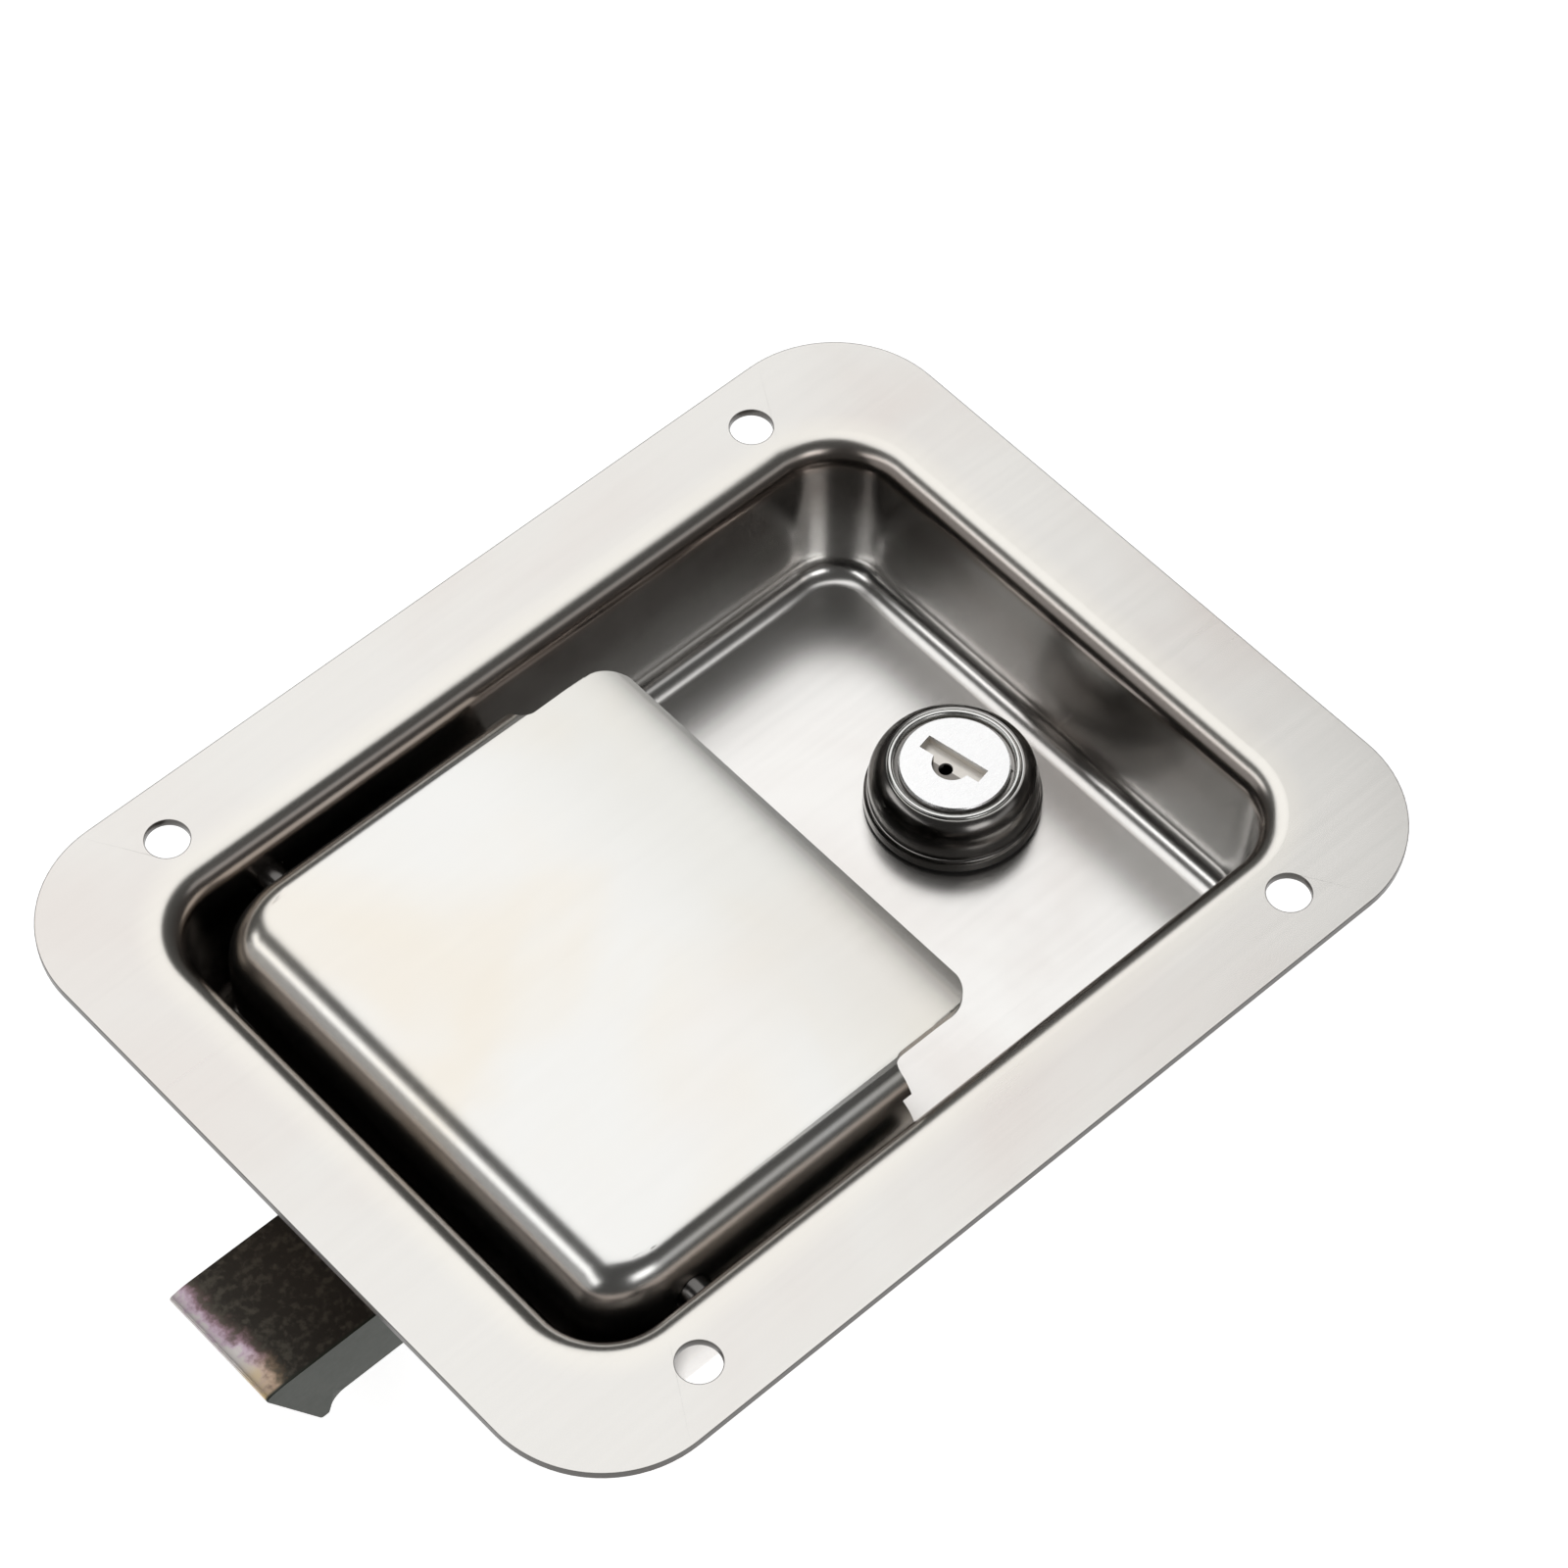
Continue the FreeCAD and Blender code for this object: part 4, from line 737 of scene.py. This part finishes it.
# Painted highlight: the crest of the top ring is painted silver, where the black chrome would
# mirror the overhead light.
ring_highlight = black_chrome.between(from_axis, 0.0075, 0.00741) * black_chrome.between(
    black_chrome.z, -0.01262, -0.0125
)
skin = black_chrome.mix(haze * 0.5, (0.30, 0.29, 0.28), (0.22, 0.205, 0.19))
black_chrome.vary_surface(
    colour=black_chrome.mix(ring_highlight, skin, (0.72, 0.72, 0.70)),
    roughness=0.13 + haze * 0.10 + wipe * 0.04,
)
finish_piece(lock, black_chrome.material, "pan_group", "black_chrome", "lock_body")

# Lock plug
# The turned nickel core that the key turns, with a square tang for the cam. Its keyway is closed
# by a thin dust shutter just under the face, which has a round hole.
plug_section = [(3.5, -34.5), (4.4, -34.5), (4.4, -31.0)]
plug_section += [(6.1, -31.0), (6.1, -12.15), (5.95, -12.0)]
plug = lathe("plug_core", plug_section, lock_x, 0.0)
tang_flats = [
    plain(
        "cube",
        "tang_flat",
        (lock_x + along * 5.5, across * 5.5, -33.5),
        (4.0 if along else 20.0, 4.0 if across else 20.0, 5.0),
        size=1.0,
    )
    for along, across in ((-1, 0), (1, 0), (0, -1), (0, 1))
]
bulge_x, bulge_y = key_spot(0.2, -0.25)
bulge = drill(bulge_x, bulge_y, -13.2, -11.0, 2.2)
cut(bulge, [key_cutter(-7.0, 7.0, 0.39, 10.0, -14.0, -10.0)])
hole_x, hole_y = key_spot(0.75, -0.56)
entry = [
    key_cutter(-3.5, 4.3, -0.535, 1.315, -13.2, -11.0),
    bulge,
    key_cutter(-2.9, 3.7, -0.06, 0.84, -29.0, -13.5),
    drill(hole_x, hole_y, -29.0, -11.0, 0.8),
]
for low in [-16.25 - 2.4 * i for i in range(6)]:
    entry.append(key_cutter(-7.1, 7.1, -2.51, 1.99, low, low + 1.3))
    entry.append(key_cutter(-2.4, 3.1, 1.94, 3.69, low, low + 1.3))
cut(plug, tang_flats + entry)
crisp(plug, 0.06)
nickel = Finish("plug_metal", (0.80, 0.80, 0.785), 1.0, 0.3)
cloud = nickel.noise(200.0, 3.0)
faced = nickel.noise(1.0, 2.0, nickel.stretched(900.0, 2400.0, 900.0))
sunk = nickel.between(nickel.z, -0.0122, -0.0128)
# Painted shade: the keyway below the shutter and its hole are painted near black.
deep_shade = nickel.between(nickel.z, -0.0134, -0.0142)
key_angle = math.radians(key_turn)
across = nickel.x * math.cos(key_angle) + nickel.y * math.sin(key_angle)
bulge_edge = lock_x * math.cos(key_angle) - 0.5
bulge_side = nickel.between(across, bulge_edge * mm, (bulge_edge - 0.12) * mm)
ledge = nickel.mix(bulge_side * 0.85, (0.93, 0.89, 0.83), (0.24, 0.22, 0.20))
face = nickel.mix(cloud * 0.2, (0.93, 0.93, 0.93), (0.84, 0.84, 0.84))
nickel.vary_surface(
    colour=nickel.mix(deep_shade, nickel.mix(sunk, face, ledge), (0.02, 0.019, 0.018)),
    roughness=0.24 + faced * 0.06 + sunk * 0.15,
    metallic=1.0 - sunk * 0.15,
)
nickel.bump(faced, 0.008, 0.00003)
finish_piece(plug, nickel.material, "plug_group", "plug_metal", "lock_plug")

# Hinge pin
# A headed steel pin through the pan's long walls, the paddle's skirts and the lever, with a groove
# for its open ring.
pin_section = [
    (2.3, -36.86),
    (2.9, -36.7),
    (3.4, -36.16),
    (3.4, -35.46),
    (2.0, -35.46),
    (2.0, 35.75),
    (1.5, 35.75),
    (1.5, 36.5),
    (2.0, 36.5),
    (2.0, 38.45),
    (1.4, 39.05),
]
pin = lathe("hinge_pin_bar", pin_section, 0.0, 0.0, 48)


def settle(piece, place, turn):
    """Turns a finished piece and takes it to its place, and puts both into its mesh."""
    bpy.ops.object.select_all(action="DESELECT")
    piece.select_set(True)
    bpy.context.view_layer.objects.active = piece
    piece.rotation_euler = [math.radians(angle) for angle in turn]
    piece.location = [value * mm for value in place]
    bpy.ops.object.transform_apply(location=True, rotation=True, scale=True)


settle(pin, (pin_x, 0.0, pin_z), (-90, 0, 0))
crisp(pin, 0.0, angle=40.0)
pin_steel = Finish("pin_steel", (0.13, 0.125, 0.12), 1.0, 0.2)
drawn = pin_steel.noise(1.0, 2.0, pin_steel.stretched(1500.0, 40.0, 1500.0))
pin_steel.vary_surface(roughness=0.14 + drawn * 0.14)
finish_piece(pin, pin_steel.material, "pan_group", "pin_steel", "hinge_pin")

# Rivets
# Four domed steel rivets that hold the bolt's housing under the floor, set with a formed tail.
rivet_section = [
    (1.3, -22.5),
    (2.2, -22.4),
    (2.6, -22.0),
    (2.6, -21.5),
    (1.6, -21.5),
    (1.6, -19.0),
    (3.0, -19.0),
    (2.96, -18.7),
    (2.6, -18.2),
    (1.8, -17.9),
    (0.8, -17.8),
]
rivets = lathe("rivet_set", rivet_section, -36.3, 15.5, 40)
others = []
for place in ((23.3, 0.0, 0.0), (0.0, -28.0, 0.0), (23.3, -28.0, 0.0)):
    twin = rivets.copy()
    twin.data = rivets.data.copy()
    bpy.context.scene.collection.objects.link(twin)
    settle(twin, place, (0, 0, 0))
    others.append(twin)
for piece in others + [rivets]:
    piece.select_set(True)
bpy.context.view_layer.objects.active = rivets
bpy.ops.object.join()
crisp(rivets, 0.0, angle=45.0)


def satin_steel(name, colour, cloud, grain=(30.0, 1200.0, 1200.0)):
    """Rolled steel with a satin face: faint clouds of tint, fine grain and small scratches."""
    steel = Finish(name, colour, 1.0, 0.3)
    clouds = steel.noise(22.0, 4.0, distortion=0.6)
    small = steel.noise(160.0, 3.0)
    lines = steel.noise(1.0, 2.0, steel.stretched(*grain))
    scratch = steel.noise(1.0, 1.0, steel.stretched(90.0, 2600.0, 900.0))
    tint = steel.between(clouds, 0.45, 0.75)
    steel.vary_surface(
        colour=steel.mix(tint * 0.6 + small * 0.15, colour, cloud),
        roughness=0.18 + lines * 0.07 + clouds * 0.08,
    )
    relief = lines * 0.7 + steel.between(scratch, 0.66, 0.74) * 0.5
    steel.bump(relief, 0.04, 0.00004)
    return steel.material


even_grain = (600.0, 600.0, 600.0)
rivet_steel = satin_steel("rivet_steel", (0.66, 0.65, 0.63), (0.5, 0.48, 0.45), even_grain)
finish_piece(rivets, rivet_steel, "pan_group", "rivet_steel", "housing_rivets")


# Springs
# Round spring wire. The paddle's coil sits on the pin with one leg under the paddle and one on the
# floor, and the bolt's coil sits in the bolt's pocket with its ends ground flat.
def coil(name, wire, radius, pitch, turns):
    """A coil of round wire along Z, with open ends, left in edit mode."""
    turn = (math.pi / 2.0, 0, 0)
    spring = plain("circle", name, (radius, 0, 0), (1, 1, 1), turn, vertices=14, radius=wire / 2.0)
    modify(
        spring,
        "SCREW",
        axis="Z",
        angle=2.0 * math.pi,
        screw_offset=pitch * mm,
        iterations=turns,
        steps=28,
        render_steps=28,
    )
    edit(spring)
    return spring


def close_ends():
    """Closes the open ends of a wire and turns its faces outward."""
    pick("edges", lambda middle, edge: len(edge.link_faces) < 2)
    bpy.ops.mesh.fill_holes(sides=40)
    bpy.ops.mesh.select_all(action="SELECT")
    bpy.ops.mesh.normals_make_consistent(inside=False)
    done()


paddle_coil = coil("paddle_coil", 1.2, 3.0, 1.32, 4)
for low, leg in ((True, -13.4), (False, 5.0)):
    pick(
        "edges",
        lambda middle, edge: len(edge.link_faces) < 2 and (middle.z < 2.0) == low,
    )
    bpy.ops.mesh.extrude_edges_move(TRANSFORM_OT_translate={"value": (0, leg * mm, 0)})
close_ends()
settle(paddle_coil, (pin_x, bolt_y + 7.5, pin_z), (-90, 180, 0))
crisp(paddle_coil, 0.0, angle=50.0)
spring_steel = Finish("spring_steel", (0.42, 0.41, 0.40), 1.0, 0.25)
oiled = spring_steel.noise(300.0, 2.0)
spring_steel.vary_surface(
    colour=spring_steel.mix(oiled, (0.46, 0.45, 0.44), (0.30, 0.28, 0.26)),
    roughness=0.18 + oiled * 0.15,
)
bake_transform(paddle_coil)
finish_piece(paddle_coil, spring_steel.material, None, "spring_steel", "paddle_spring")
bolt_coil = coil("bolt_coil", 0.9, 3.05, 3.8, 7)
for z, sign in ((0.9, -1), (25.7, 1)):
    bpy.ops.mesh.select_all(action="SELECT")
    bpy.ops.mesh.bisect(
        plane_co=(0, 0, z * mm), plane_no=(0, 0, sign), clear_outer=True, use_fill=True
    )
bpy.ops.mesh.select_all(action="SELECT")
bpy.ops.mesh.normals_make_consistent(inside=False)
done()
settle(bolt_coil, (-27.7, bolt_y, -26.05), (0, 90, 0))
crisp(bolt_coil, 0.0, angle=50.0)
finish_piece(bolt_coil, spring_steel.material, "pan_group", "spring_steel", "bolt_spring")
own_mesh(bolt_coil)


# Lever, housing and small steel pieces
# Bent and punched sheet with a zinc skin: the lever under the paddle, the bolt's housing and the
# washers. They keep the shapes of the CAD model.
def dress(material, *names):
    """Gives CAD nodes a material in place of their plain one."""
    for name in names:
        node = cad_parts[name]
        node.data.materials.clear()
        node.data.materials.append(material)


fold_grain = (200.0, 500.0, 500.0)
zinc_steel = satin_steel("zinc_steel", (0.66, 0.67, 0.67), (0.50, 0.52, 0.54), fold_grain)
dress(zinc_steel, "bolt_housing", "paddle_lever", "lock_washer", "stop_washer")
dress(spring_steel.material, "pin_clip", "wafer_springs", "cam_spring_washer")

# Gasket
# A thin ring of black rubber between the lock's head and the floor.
rubber = Finish("gasket_rubber", (0.025, 0.025, 0.025), 0.0, 0.7)
grain = rubber.noise(3000.0, 2.0)
rubber.vary_surface(roughness=0.6 + grain * 0.25)
rubber.bump(grain, 0.2, 0.00002)
dress(rubber.material, "lock_gasket")

# Nut, cam, screw and wafers
# The lock's steel nut, the pressed cam with its bent-up end, the screw that holds it, and the
# brass wafers inside the plug.
nut_zinc = satin_steel("nut_zinc", (0.64, 0.62, 0.56), (0.52, 0.49, 0.42), (300.0, 300.0, 900.0))
dress(nut_zinc, "lock_nut")
cam_steel = satin_steel("cam_steel", (0.60, 0.60, 0.59), (0.44, 0.44, 0.45), (60.0, 900.0, 900.0))
dress(cam_steel, "lock_cam")
turned_grain = (500.0, 500.0, 200.0)
screw_steel = satin_steel("screw_steel", (0.50, 0.50, 0.50), (0.36, 0.36, 0.37), turned_grain)
dress(screw_steel, "cam_screw")
brass = satin_steel("wafer_brass", (0.72, 0.55, 0.28), (0.55, 0.40, 0.20), (400.0, 400.0, 900.0))
dress(brass, "plug_wafers")
